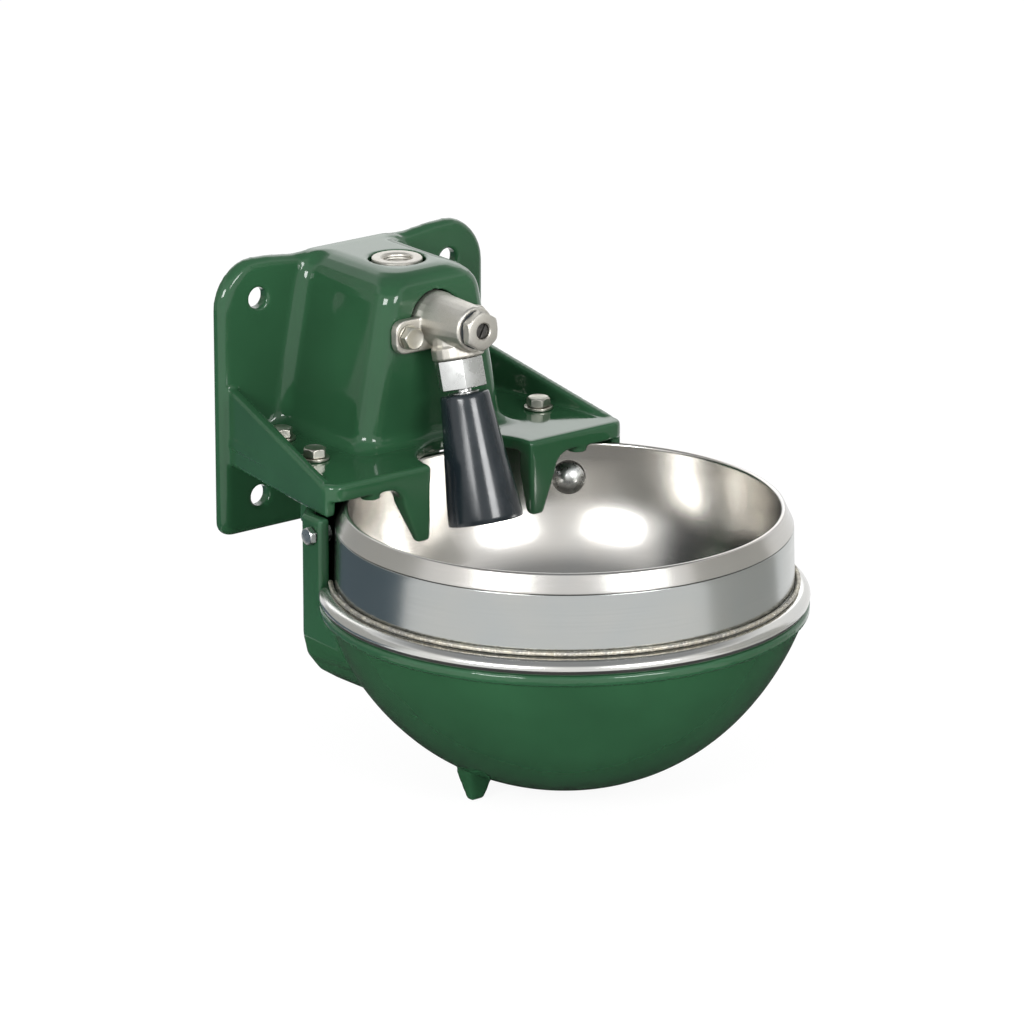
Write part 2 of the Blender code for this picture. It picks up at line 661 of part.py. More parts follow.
def prong(side):
    """A guard prong beside the notch: its outer edge sweeps in with a large fillet."""
    inner = NOTCH_HALF_WIDTH
    front = -SHELF_REACH
    tip_z = SHELF_Z - LIP_DEPTH - PRONG_LENGTH
    fillet_z = SHELF_Z - LIP_DEPTH - PRONG_FILLET
    stations = [(SHELF_Z - SHELF_THICKNESS / 2, PRONG_ROOT_WIDTH + PRONG_FILLET, PRONG_ROOT_DEPTH, 0)]
    for turn in range(5):
        angle = turn * math.pi / 8
        width = PRONG_ROOT_WIDTH + PRONG_FILLET * (1 - math.sin(angle))
        stations.append((fillet_z + PRONG_FILLET * math.cos(angle), width, PRONG_ROOT_DEPTH, 0))
    stations.append((tip_z + PRONG_TIP_RADIUS, PRONG_TIP_WIDTH, PRONG_TIP_DEPTH, 0))
    for turn in (1, 2):
        angle = turn * math.pi / 6
        inset = PRONG_TIP_RADIUS * (1 - math.cos(angle))
        stations.append((tip_z + PRONG_TIP_RADIUS * (1 - math.sin(angle)),
                         PRONG_TIP_WIDTH - inset, PRONG_TIP_DEPTH - inset, inset))
    stations.append((tip_z, PRONG_TIP_WIDTH - PRONG_EDGE_RADIUS, PRONG_TIP_DEPTH - MM, PRONG_EDGE_RADIUS))
    rings = []
    for z, width, depth, inset in stations:
        corner = PRONG_EDGE_RADIUS
        low_x, high_x = inner + corner + inset, inner + width - corner
        low_y, high_y = front + corner, front + depth - corner
        section = arc(high_x, high_y, corner, 0, math.pi / 2, 2)
        section += arc(low_x, high_y, corner, math.pi / 2, math.pi, 2)
        section += arc(low_x, low_y, corner, math.pi, 1.5 * math.pi, 2)
        section += arc(high_x, low_y, corner, 1.5 * math.pi, 2 * math.pi, 2)
        rings.append([(side * x, y, z) for x, y in section])
    return loft(rings)


def rimmed_hole(radius, rim, depth, steps=16):
    """A cutter along Z with a rounded mouth at each end; Z = 0 and Z = depth are the faces."""
    over = 2 * MM
    profile = [(0, -over), (radius + rim, -over)]
    profile += [(radius + rim - rim * math.sin(a), rim - rim * math.cos(a))
                for a in (0, math.pi / 4, math.pi / 2)]
    profile += [(radius + rim - rim * math.cos(a), depth - rim + rim * math.sin(a))
                for a in (0, math.pi / 4, math.pi / 2)]
    profile += [(radius + rim, depth + over), (0, depth + over)]
    return lathe(profile, steps)


def shelf_bolt_places():
    """Name, x and y of each of the four shelf bolts."""
    rows = (("front_", FRONT_BOLT_SIDE_INSET, -SHELF_REACH + FRONT_BOLT_FROM_EDGE),
            ("rear_", REAR_BOLT_SIDE_INSET, -REAR_BOLT_FROM_WALL))
    return [(row + side, sign * (shelf_half_width(y) - inset), y)
            for row, inset, y in rows for side, sign in SIDES]


def bolt_hole(radius, x, y, bottom, top):
    return moved(cylinder(radius, bottom, top), Matrix.Translation((x, y, 0)))


def bracket():
    """The wall bracket, one casting: plate, hood, shelf, gussets and prongs."""
    body = union(wall_plate(), shelf_plate(), front_lip(), gusset(-1), gusset(1))
    body = union(body, hood_body(), prong(-1), prong(1))
    for _, side in SIDES:
        place = Matrix.Translation((side * LIP_BOSS_X, -SHELF_REACH + LIP_THICKNESS, 0))
        boss = cylinder(LIP_BOSS_RADIUS, SHELF_Z - LIP_DEPTH - LIP_BOSS_DROP, SHELF_UNDERSIDE_Z + MM)
        body = union(body, moved(boss, place))
    body = cut(body, notch_cutter(), hood_hollow())
    for x in (-WALL_HOLE_HALF_PITCH_X, WALL_HOLE_HALF_PITCH_X):
        for z in (-WALL_HOLE_HALF_PITCH_Z, WALL_HOLE_HALF_PITCH_Z):
            hole = rimmed_hole(WALL_HOLE_RADIUS, HOLE_RIM_RADIUS, PLATE_THICKNESS)
            body = cut(body, moved(hole, axis_frame((x, 0, z), (0, -1, 0))))
    hole_radius = BOLT_RADIUS + BOLT_HOLE_CLEARANCE
    for _, x, y in shelf_bolt_places():
        body = cut(body, bolt_hole(hole_radius, x, y, SHELF_UNDERSIDE_Z - MM, SHELF_Z + MM))
    port = cylinder(SOCKET_RADIUS + PORT_CLEARANCE, HOOD_TOP_Z - 2 * HOOD_WALL, HOOD_TOP_Z + MM, 24)
    body = cut(body, moved(port, Matrix.Translation((0, -PORT_FROM_WALL, 0))))
    mouth = cylinder(VALVE_SPIGOT_RADIUS + VALVE_SPIGOT_CLEARANCE, -2 * HOOD_WALL, HOOD_WALL, 24)
    body = cut(body, moved(mouth, VALVE_FRAME))
    for _, side in SIDES:
        hole = cylinder(hole_radius, -2 * HOOD_WALL, HOOD_WALL)
        body = cut(body, moved(hole, ear_bolt_frame(side)))
    add_part("bracket", body, GREEN_ENAMEL, sharp=35)


# Lower housing


def shell_radius_at(height):
    """Outer radius of the round shell at a height over the rim (negative below it)."""
    widest = SHELL_RADIUS + SHELL_SWELL
    depth = SHELL_DEPTH_UNDER_RIM + SHELL_CENTRE_OVER_RIM
    share = (SHELL_CENTRE_OVER_RIM - height) / depth
    return widest * max(1 - share ** SHELL_ROUNDNESS, 0) ** (1 / SHELL_ROUNDNESS)


def shell_profile(inset, top_radius, steps):
    """Right half of the shell from its edge down to its lowest point, moved in by inset."""
    lip_bottom = -LIP_UNDER_RIM - SHELL_LIP_HEIGHT
    profile = [(top_radius, -LIP_UNDER_RIM), (top_radius, lip_bottom)]
    scale = (shell_radius_at(lip_bottom) - inset) / shell_radius_at(lip_bottom)
    depth = SHELL_DEPTH_UNDER_RIM - inset + lip_bottom
    for step in range(steps + 1):
        height = lip_bottom - depth * math.sin(step * math.pi / 2 / steps)
        outer_height = lip_bottom + (height - lip_bottom) * (SHELL_DEPTH_UNDER_RIM + lip_bottom) / depth
        profile.append((shell_radius_at(outer_height) * scale, height))
    profile[-1] = (0, -SHELL_DEPTH_UNDER_RIM + inset)
    return profile


def box_outline(inset, front):
    """Plan of the rear box: flat sides, and a rear wall that runs round the bowl's axis."""
    half_width = BOX_HALF_WIDTH - inset
    radius = BOX_REAR_RADIUS + BOX_WALL - inset
    corner_angle = math.acos(half_width / radius)
    outline = arc(0, BOWL_Y, radius, corner_angle, math.pi - corner_angle, 12)
    return outline + [(-half_width, -front), (half_width, -front)]


def box_body(inset, front, bottom, top):
    radius = max(BOX_BOTTOM_RADIUS - inset, 2 * MM)
    rings = []
    for turn in range(5):
        angle = turn * math.pi / 8
        z = bottom + radius * (1 - math.sin(angle))
        outline = box_outline(inset + radius * (1 - math.cos(angle)), front)
        rings.append([(x, y, z) for x, y in outline])
    rings.reverse()
    rings.append([(x, y, top) for x, y in box_outline(inset, front)])
    return loft(rings)


def flange_outline():
    """Plan of the flange under the shelf, inside the gussets."""
    rear = -PLATE_THICKNESS - FLANGE_WALL_CLEARANCE
    front = -GUSSET_TOP_REACH
    margin = GUSSET_THICKNESS + FLANGE_SIDE_CLEARANCE
    return [(shelf_half_width(rear) - margin, rear), (-shelf_half_width(rear) + margin, rear),
            (-shelf_half_width(front) + margin, front), (shelf_half_width(front) - margin, front)]


def foot(side):
    """A tapered stub foot under the shell."""
    tip_z = RIM_Z - SHELL_DEPTH_UNDER_RIM - FOOT_BELOW_SHELL
    root_z = tip_z + FOOT_HEIGHT
    rings = []
    for z, grow, corner in ((root_z + FOOT_HEIGHT / 2, FOOT_SPREAD * 1.5, 4 * MM), (root_z, FOOT_SPREAD, 3 * MM),
                            (tip_z + 2 * MM, 0, 2 * MM), (tip_z, -2 * MM, MM)):
        outline = rounded_tab((FOOT_TIP_WIDTH + grow) / 2, FOOT_TIP_DEPTH + grow, corner, 2)
        rings.append([(side * FOOT_FROM_AXIS + x, BOWL_Y + y, z) for x, y in outline])
    return loft(rings)


def shell_solid(inset, top_radius, raise_top=0.0):
    profile = shell_profile(inset, top_radius, SHELL_STEPS)
    profile = [(0, profile[0][1] + raise_top), (profile[0][0], profile[0][1] + raise_top)] + profile[1:]
    return moved(lathe(profile, ROUND_STEPS), Matrix.Translation(BOWL_AXIS))


def lower_housing():
    """The lower housing, one casting: round shell, rear box, flange, bosses and feet."""
    box_bottom = RIM_Z - BOX_DEPTH_UNDER_RIM
    lip_lower = LIP_Z - SHELL_LIP_HEIGHT / 2
    deep_front = RIM_FROM_WALL + RIM_RADIUS - BOX_BELOW_BOWL
    body = union(shell_solid(0, SHELL_RADIUS), foot(-1), foot(1))
    body = union(body, box_body(0, deep_front, box_bottom, lip_lower))
    upper = [[(x, y, z) for x, y in box_outline(0, BOX_FRONT_REACH)]
             for z in (LIP_Z - SHELL_LIP_HEIGHT, BOX_TOP_Z)]
    body = union(body, loft(upper))
    neck = prism(box_outline(0, BOX_FRONT_REACH), BOX_TOP_Z - NECK_OVERLAP, FLANGE_BOTTOM_Z + MM)
    neck = meet(neck, prism(flange_outline(), BOX_TOP_Z - 2 * NECK_OVERLAP, FLANGE_TOP_Z), "INTERSECT")
    body = union(body, neck)
    body = union(body, prism(flange_outline(), FLANGE_BOTTOM_Z, FLANGE_TOP_Z))
    for name, x, y in shelf_bolt_places():
        depth = FRONT_BOSS_DEPTH if name.startswith("front") else REAR_BOSS_DEPTH
        boss = cylinder(BOSS_RADIUS, FLANGE_BOTTOM_Z - depth, FLANGE_BOTTOM_Z + MM, 16)
        body = union(body, moved(boss, Matrix.Translation((x, y, 0))))
    hollow = box_body(BOX_WALL, deep_front - MM, box_bottom + BOX_WALL, LIP_Z)
    hollow_reach = max(BOX_FRONT_REACH, SHELF_REACH) + MM
    upper_hollow = [[(x, y, z) for x, y in box_outline(BOX_WALL, hollow_reach)]
                    for z in (LIP_Z - MM, FLANGE_TOP_Z + MM)]
    body = cut(body, shell_solid(SHELL_WALL, SHELL_RADIUS - SHELL_WALL, raise_top=5 * MM))
    body = cut(body, hollow, loft(upper_hollow))
    pipe_half = hood_half_width(SHELF_Z) - 2 * HOOD_WALL
    pipe_slot = [(pipe_half, -PLATE_THICKNESS - HOOD_WALL - FLANGE_WALL_CLEARANCE),
                 (-pipe_half, -PLATE_THICKNESS - HOOD_WALL - FLANGE_WALL_CLEARANCE),
                 (-pipe_half, -HOOD_REACH), (pipe_half, -HOOD_REACH)]
    body = cut(body, prism(pipe_slot, BOX_TOP_Z - 5 * MM, FLANGE_TOP_Z + MM))
    for _, x, y in shelf_bolt_places():
        radius = BOLT_RADIUS + THREAD_CLEARANCE
        bottom = FLANGE_TOP_Z - FLANGE_THICKNESS - SHELF_BOLT_GRIP
        body = cut(body, bolt_hole(radius, x, y, bottom, FLANGE_TOP_Z + MM))
    body = cut(body, moved(bowl_bolt_hole(), Matrix.Translation(BOWL_AXIS)))
    earth_frame = axis_frame((0, EARTH_BOLT_Y, EARTH_BOLT_Z), (-1, 0, 0))
    hole = cylinder(EARTH_BOLT_RADIUS + BOLT_HOLE_CLEARANCE, BOX_HALF_WIDTH - 2 * BOX_WALL,
                    BOX_HALF_WIDTH + BOX_WALL)
    body = cut(body, moved(hole, earth_frame))
    add_part("lower_housing", body, GREEN_ENAMEL, sharp=35)


# Bowl


def bowl_inner_radius_at(height):
    share = min(-height / BOWL_DEPTH, 1)
    inner = RIM_RADIUS - BOWL_SHEET
    return inner * (1 - share ** BOWL_ROUNDNESS) ** (1 / BOWL_ROUNDNESS)


def bowl_curve(offset):
    """Points down the bowl's side from just below the fold to its bottom, moved outwards."""
    points = []
    depth = BOWL_DEPTH
    for step in range(BOWL_STEPS + 1):
        share = BOWL_CURVE_START + (1 - BOWL_CURVE_START) * step / BOWL_STEPS
        angle = share * math.pi / 2
        height = -depth * math.sin(angle) ** 1.3
        radius = bowl_inner_radius_at(height)
        slope_r = radius / (RIM_RADIUS - BOWL_SHEET)
        normal = Vector((slope_r ** (BOWL_ROUNDNESS - 1) / (RIM_RADIUS - BOWL_SHEET),
                         -(-height / depth) ** (BOWL_ROUNDNESS - 1) / depth)).normalized()
        points.append((max(radius + offset * normal.x, 0), height + offset * normal.y))
    points[-1] = (0, -depth - offset)
    return points


def bowl_bolt_hole():
    """Cutter for the bowl bolt's hole, in the bowl's own frame."""
    hole = cylinder(BOLT_RADIUS + BOLT_HOLE_CLEARANCE, RIM_RADIUS / 2, BOX_REAR_RADIUS + 2 * BOX_WALL)
    return moved(hole, Matrix.Translation(-BOWL_AXIS) @ bowl_bolt_frame())


def drinking_bowl():
    """Inner bowl with its rim folded out and down over the skirt."""
    inner = bowl_curve(0)
    outer = bowl_curve(BOWL_SHEET)
    rim = [(RIM_RADIUS - BOWL_SHEET, -2 * MM), (RIM_RADIUS - BOWL_SHEET / 2, -0.5 * MM),
           (RIM_RADIUS, 0), (RIM_RADIUS + MM, -0.5 * MM), (RIM_RADIUS + 1.6 * MM, -1.8 * MM)]
    fold = [(FOLD_RADIUS, -FOLD_HEIGHT), (FOLD_RADIUS - BOWL_SHEET, -FOLD_HEIGHT),
            (RIM_RADIUS + 0.1 * MM, -2.6 * MM)]
    profile = list(reversed(inner)) + rim + fold + outer
    bowl = cut(lathe(profile, ROUND_STEPS), bowl_bolt_hole())
    add_part("drinking_bowl", bowl, SATIN_STEEL, Matrix.Translation(BOWL_AXIS), sharp=40)


def bowl_skirt():
    top = -FOLD_HEIGHT - SEAT_GAP
    bottom = -FOLD_HEIGHT - SKIRT_HEIGHT
    profile = [(FOLD_RADIUS - BOWL_SHEET, top), (FOLD_RADIUS, top), (SKIRT_RADIUS, bottom),
               (SKIRT_RADIUS - BOWL_SHEET, bottom)]
    skirt = cut(lathe(profile, ROUND_STEPS), bowl_bolt_hole())
    add_part("bowl_skirt", skirt, SATIN_STEEL, Matrix.Translation(BOWL_AXIS), sharp=40)


def front_sweep():
    """Start angle and sweep, about the bowl's axis, of what runs from side wall to side wall."""
    reach = -BOWL_Y - BOX_FRONT_REACH - SEAT_GAP
    start = math.asin(reach / RING_OUTER_RADIUS)
    return math.pi - start, math.pi + 2 * start


def rim_ring():
    """Half-round ring that lies on the shell's edge round the front."""
    bottom = -LIP_UNDER_RIM + SEAT_GAP
    top = bottom + RING_HEIGHT
    centre = bottom + RING_HEIGHT * 0.32
    profile = [(RING_INNER_RADIUS, bottom)]
    profile += [(RING_OUTER_RADIUS - 1.2 * MM, bottom)]
    profile += [(RING_INNER_RADIUS + RING_WIDTH * math.cos(a), centre + (top - centre) * math.sin(a))
                for a in (0, 0.4, 0.8, 1.2, math.pi / 2)]
    start, sweep = front_sweep()
    ring = lathe(profile, FRONT_STEPS, sweep, start)
    add_part("rim_ring", ring, SATIN_STEEL, Matrix.Translation(BOWL_AXIS), sharp=40)


def weld_bead():
    top = -LIP_UNDER_RIM + SEAT_GAP + RING_HEIGHT
    radius = SKIRT_RADIUS + SEAT_GAP + WELD_RADIUS
    height = top + SEAT_GAP + WELD_RADIUS
    profile = [(radius + WELD_RADIUS * math.cos(a * math.pi / 3 + 0.5),
                height + WELD_RADIUS * math.sin(a * math.pi / 3 + 0.5)) for a in range(6)]
    start, sweep = front_sweep()
    add_part("weld_bead", lathe(profile, FRONT_STEPS, sweep, start), WELD_METAL,
             Matrix.Translation(BOWL_AXIS), sharp=40)


def parted(points, radius):
    """The two parts of an inward profile, beyond radius and within it, with the crossing in both."""
    for index, (outer, inner) in enumerate(zip(points, points[1:])):
        if outer[0] >= radius > inner[0]:
            share = (outer[0] - radius) / (outer[0] - inner[0])
            crossing = (radius, outer[1] + (inner[1] - outer[1]) * share)
            return points[:index + 1] + [crossing], [crossing] + points[index + 1:]
    raise ValueError("the profile doesn't cross this radius")


def heating_plate():
    """Dished heater that lies against the bowl's bottom."""
    gap = BOWL_SHEET + SEAT_GAP
    _, upper = parted(bowl_curve(gap), HEATER_RADIUS)
    _, lower = parted(bowl_curve(gap + HEATER_THICKNESS), HEATER_RADIUS)
    add_part("heating_plate", lathe(upper + list(reversed(lower)), ROUND_STEPS), HEATER_FOIL,
             Matrix.Translation(BOWL_AXIS), sharp=40)


def below(points, top):
    """The part of a falling profile that lies below top, cut off level."""
    kept = []
    for upper, lower in zip(points, points[1:]):
        if upper[1] >= top > lower[1]:
            share = (upper[1] - top) / (upper[1] - lower[1])
            kept.append((upper[0] + (lower[0] - upper[0]) * share, top))
        if lower[1] < top:
            kept.append(lower)
    return kept


def insulation():
    """Foam between shell and bowl, with a pocket for the heater."""
    inset = SHELL_WALL + SEAT_GAP
    top = -INSULATION_TOP_UNDER_RIM
    outer = below(shell_profile(inset, SHELL_RADIUS - inset, SHELL_STEPS), top)
    pocket_radius = HEATER_RADIUS + 2 * SEAT_GAP
    near, _ = parted(below(bowl_curve(BOWL_SHEET + SEAT_GAP), top), pocket_radius)
    _, pocket = parted(bowl_curve(BOWL_SHEET + HEATER_THICKNESS + 2 * SEAT_GAP), pocket_radius)
    profile = outer + list(reversed(near + pocket))
    add_part("insulation", lathe(profile, ROUND_STEPS), FOAM, Matrix.Translation(BOWL_AXIS), sharp=40)


# Fasteners


def hex_bolt(length, radius=BOLT_RADIUS, across_flats=HEX_ACROSS_FLATS, head_height=HEAD_HEIGHT):
    """Hex bolt along Z: its head's underside is at 0 and its shank points down."""
    head = hexagon(across_flats, 0, head_height, chamfer_top=0.3 * MM)
    return union(head, cylinder(radius, -length, MM, 10))


def flat_washer(inner=BOLT_RADIUS + BOLT_HOLE_CLEARANCE, outer=WASHER_RADIUS, thick=WASHER_THICKNESS):
    return lathe([(inner, 0), (outer, 0), (outer, thick), (inner, thick)], 14)


def shelf_fasteners():
    washer_z = SHELF_Z + SEAT_GAP
    head_z = washer_z + WASHER_THICKNESS + SEAT_GAP
    length = head_z - (FLANGE_BOTTOM_Z - SHELF_BOLT_GRIP + MM)
    for name, x, y in shelf_bolt_places():
        turned = Matrix.Rotation(SHELF_BOLT_TURN, 4, "Z")
        add_part("shelf_bolt_" + name, hex_bolt(length), ZINC, Matrix.Translation((x, y, head_z)) @ turned)
        add_part("shelf_washer_" + name, flat_washer(), ZINC, Matrix.Translation((x, y, washer_z)))


def earth_fastener():
    """Earth bolt through the left side wall, with its nut inside."""
    inner_face = BOX_HALF_WIDTH - BOX_WALL
    head_x = BOX_HALF_WIDTH + SEAT_GAP
    place = axis_frame((-head_x, EARTH_BOLT_Y, EARTH_BOLT_Z), (-1, 0, 0))
    length = BOX_WALL + 2 * SEAT_GAP + EARTH_NUT_HEIGHT + EARTH_BOLT_RADIUS / 4
    bolt = hex_bolt(length, EARTH_BOLT_RADIUS, EARTH_HEX_ACROSS_FLATS, EARTH_HEAD_HEIGHT)
    add_part("earth_bolt", bolt, BRIGHT_STEEL, place)
    nut = hexagon(EARTH_HEX_ACROSS_FLATS, -EARTH_NUT_HEIGHT, 0, chamfer_bottom=0.4 * MM)
    nut = cut(nut, cylinder(EARTH_BOLT_RADIUS + THREAD_CLEARANCE, -EARTH_NUT_HEIGHT - MM, MM, 10))
    place = axis_frame((-inner_face + SEAT_GAP, EARTH_BOLT_Y, EARTH_BOLT_Z), (-1, 0, 0))
    add_part("earth_nut", nut, BRIGHT_STEEL, place)


def bowl_bolt_frame():
    """Frame on the bowl bolt's axis, Z away from the bowl's axis, Z = 0 on that axis."""
    outwards = Vector((math.cos(BOWL_BOLT_ANGLE), math.sin(BOWL_BOLT_ANGLE), 0))
    return axis_frame((0, BOWL_Y, RIM_Z - BOWL_BOLT_UNDER_RIM), outwards)


def bowl_fastener():
    """Domed bolt from inside the bowl to the rear wall, with spacer, washer and nut."""
    facets = math.cos(math.pi / ROUND_STEPS)
    seat = bowl_inner_radius_at(-BOWL_BOLT_UNDER_RIM - DOME_RADIUS) * facets - SEAT_GAP
    sphere = (DOME_RADIUS ** 2 + DOME_HEIGHT ** 2) / 2 / DOME_HEIGHT
    reach = math.asin(DOME_RADIUS / sphere)
    dome = [(sphere * math.sin(a), seat - DOME_HEIGHT + sphere * (1 - math.cos(a)))
            for a in [reach * i / 5 for i in range(6)]]
    washer_from = BOX_REAR_RADIUS + BOX_WALL + SEAT_GAP
    nut_from = washer_from + WASHER_THICKNESS + SEAT_GAP
    end = nut_from + NUT_HEIGHT + 3 * MM
    shank = [(BOLT_RADIUS, seat), (BOLT_RADIUS, end), (0, end)]
    frame = bowl_bolt_frame()
    add_part("bowl_bolt", lathe(dome + shank, 20), BRIGHT_STEEL, frame)
    hole = BOLT_RADIUS + BOLT_HOLE_CLEARANCE
    spacer_from = SKIRT_RADIUS + SEAT_GAP
    spacer_to = BOX_REAR_RADIUS * facets - SEAT_GAP
    spacer = lathe([(hole, spacer_from), (SPACER_RADIUS, spacer_from), (SPACER_RADIUS, spacer_to),
                    (hole, spacer_to)], 14)
    add_part("bowl_bolt_spacer", spacer, BRIGHT_STEEL, frame)
    washer = moved(flat_washer(), Matrix.Translation((0, 0, washer_from)))
    add_part("bowl_bolt_washer", washer, ZINC, frame)
    nut = hexagon(HEX_ACROSS_FLATS, nut_from, nut_from + NUT_HEIGHT, chamfer_top=0.4 * MM)
    nut = cut(nut, cylinder(BOLT_RADIUS + THREAD_CLEARANCE, nut_from - MM, end, 10))
    add_part("bowl_bolt_nut", nut, ZINC, frame)


# Inlet manifold and valve


def ear_bolt_frame(side):
    """Frame on the axis of one of the valve's bolts, Z outwards, Z = 0 at the hood's front."""
    return VALVE_FRAME @ Matrix.Translation((side * VALVE_BOLT_X, -EAR_DROP, 0))


def ear_plate(reach, bottom, top):
    """Plate with the two bolt ears, in the valve's frame."""
    plate = prism(rounded_tab(reach, EAR_HEIGHT, EAR_CORNER), bottom, top)
    bmesh.ops.translate(plate, verts=plate.verts, vec=(0, -EAR_DROP, 0))
    return plate


def inlet_manifold():
    """Stainless manifold inside the hood: threaded socket on top, branch to the valve."""
    top = HOOD_TOP_Z + SOCKET_PROUD
    place = Matrix.Translation((0, -PORT_FROM_WALL, top))
    socket = lathe([(0, -MANIFOLD_LENGTH), (SOCKET_RADIUS - 2 * MM, -MANIFOLD_LENGTH),
                    (SOCKET_RADIUS, -MANIFOLD_LENGTH + 2 * MM), (SOCKET_RADIUS, -SOCKET_CHAMFER / 2),
                    (SOCKET_RADIUS - SOCKET_CHAMFER / 2, 0), (0, 0)], 24)
    socket = moved(socket, place)
    inward = -(HOOD_REACH - PORT_FROM_WALL)
    face = MANIFOLD_FACE
    branch = cylinder(BRANCH_RADIUS, inward, face - MANIFOLD_FLANGE_THICKNESS / 2, 20)
    ears = ear_plate(MANIFOLD_EAR_REACH, face - MANIFOLD_FLANGE_THICKNESS, face - EAR_RECESS)
    rim = cylinder(VALVE_SPIGOT_RADIUS - 4 * MM, face - MANIFOLD_FLANGE_THICKNESS + MM, face, 24)
    body = union(socket, moved(union(branch, ears, rim), VALVE_FRAME))
    bore = lathe([(0, -MANIFOLD_LENGTH + SOCKET_FLOOR), (SOCKET_BORE_RADIUS, -MANIFOLD_LENGTH + SOCKET_FLOOR),
                  (SOCKET_BORE_RADIUS, -SOCKET_CHAMFER), (SOCKET_BORE_RADIUS + 2 * SOCKET_CHAMFER, SOCKET_CHAMFER),
                  (0, SOCKET_CHAMFER)], 24)
    body = cut(body, moved(bore, place))
    body = cut(body, moved(cylinder(BRANCH_BORE_RADIUS, inward, face + MM, 16), VALVE_FRAME))
    for _, side in SIDES:
        hole = cylinder(BOLT_RADIUS + THREAD_CLEARANCE, face - MANIFOLD_FLANGE_THICKNESS - MM, face + MM, 10)
        body = cut(body, moved(hole, ear_bolt_frame(side)))
    add_part("inlet_manifold", body, CAST_STEEL)


def valve_seal():
    """O-ring between manifold and valve body."""
    height = MANIFOLD_FACE + SEAT_GAP + SEAL_WIRE_RADIUS
    profile = [(SEAL_RING_RADIUS + SEAL_WIRE_RADIUS * math.cos(a * math.pi / 4),
                height + SEAL_WIRE_RADIUS * math.sin(a * math.pi / 4)) for a in range(8)]
    add_part("valve_seal", lathe(profile), RUBBER, VALVE_FRAME)


def valve_body():
    """Valve casting: spigot, tapered barrel, two ears and the slanted outlet."""
    spigot_end = MANIFOLD_FACE + SEAT_GAP
    barrel = lathe([(0, spigot_end), (VALVE_SPIGOT_RADIUS, spigot_end),
                    (VALVE_SPIGOT_RADIUS, VALVE_SPIGOT_PROUD - MM),
                    (VALVE_SPIGOT_RADIUS - SEAT_GAP, VALVE_SPIGOT_PROUD),
                    (VALVE_NECK_RADIUS, VALVE_SPIGOT_PROUD + VALVE_NECK_LENGTH),
                    (VALVE_END_RADIUS, VALVE_LENGTH - VALVE_END_CHAMFER),
                    (VALVE_END_RADIUS - VALVE_END_CHAMFER, VALVE_LENGTH), (0, VALVE_LENGTH)], 24)
    body = union(barrel, ear_plate(EAR_REACH, SEAT_GAP, EAR_THICKNESS))
    body = moved(body, VALVE_FRAME)
    outlet_frame = axis_frame(NUT_TOP, OUTLET_AXIS)
    edge = VALVE_END_CHAMFER
    outlet = lathe([(0, -OUTLET_DROP), (COLLAR_RADIUS - 3 * edge, -OUTLET_DROP),
                    (COLLAR_RADIUS - 2 * edge, -COLLAR_HEIGHT - 2 * edge), (COLLAR_RADIUS, -COLLAR_HEIGHT),
                    (COLLAR_RADIUS, -SEAT_GAP - edge), (COLLAR_RADIUS - edge, -SEAT_GAP),
                    (SPIGOT_RADIUS, -SEAT_GAP), (SPIGOT_RADIUS, SPIGOT_LENGTH), (0, SPIGOT_LENGTH)], 20)
    body = union(body, moved(outlet, outlet_frame))
    inlet_bore = cylinder(VALVE_BORE_RADIUS, spigot_end - MM, VALVE_LENGTH - CHAMBER_DEPTH + MM, 16)
    chamber = cylinder(CAP_THREAD_RADIUS + THREAD_CLEARANCE, VALVE_LENGTH - CHAMBER_DEPTH,
                       VALVE_LENGTH + MM, 20)
    groove = lathe([(SEAL_RING_RADIUS - SEAL_WIRE_RADIUS - SEAT_GAP, spigot_end - MM),
                    (SEAL_RING_RADIUS + SEAL_WIRE_RADIUS + SEAT_GAP, spigot_end - MM),
                    (SEAL_RING_RADIUS + SEAL_WIRE_RADIUS + SEAT_GAP, spigot_end + 2 * SEAL_WIRE_RADIUS + SEAT_GAP),
                    (SEAL_RING_RADIUS - SEAL_WIRE_RADIUS - SEAT_GAP, spigot_end + 2 * SEAL_WIRE_RADIUS + SEAT_GAP)],
                   20)
    body = cut(body, moved(inlet_bore, VALVE_FRAME), moved(chamber, VALVE_FRAME))
    body = cut(body, moved(groove, VALVE_FRAME))
    outlet_bore = cylinder(VALVE_BORE_RADIUS - MM, -OUTLET_DROP, 0, 16)
    spring_room = cylinder(SPIGOT_BORE_RADIUS, SPIGOT_LENGTH - SPRING_LENGTH - SPRING_CUP_THICKNESS
                           - 2 * SEAT_GAP, SPIGOT_LENGTH + MM, 20)
    body = cut(body, moved(outlet_bore, outlet_frame), moved(spring_room, outlet_frame))
    for _, side in SIDES:
        hole = cylinder(BOLT_RADIUS + BOLT_HOLE_CLEARANCE, -MM, EAR_THICKNESS + 2 * MM)
        body = cut(body, moved(hole, ear_bolt_frame(side)))
    add_part("valve_body", body, CAST_STEEL)


def valve_fasteners():
    washer_z = EAR_THICKNESS + SEAT_GAP
    head_z = washer_z + VALVE_WASHER_THICKNESS + SEAT_GAP
    for name, side in SIDES:
        place = ear_bolt_frame(side) @ Matrix.Translation((0, 0, washer_z))
        washer = flat_washer(outer=VALVE_WASHER_RADIUS, thick=VALVE_WASHER_THICKNESS)
        add_part("valve_washer_" + name, washer, ZINC, place)
        place = ear_bolt_frame(side) @ Matrix.Translation((0, 0, head_z))
        turned = Matrix.Rotation(VALVE_BOLT_TURN, 4, "Z")
        add_part("valve_bolt_" + name, hex_bolt(VALVE_BOLT_LENGTH), ZINC, place @ turned)


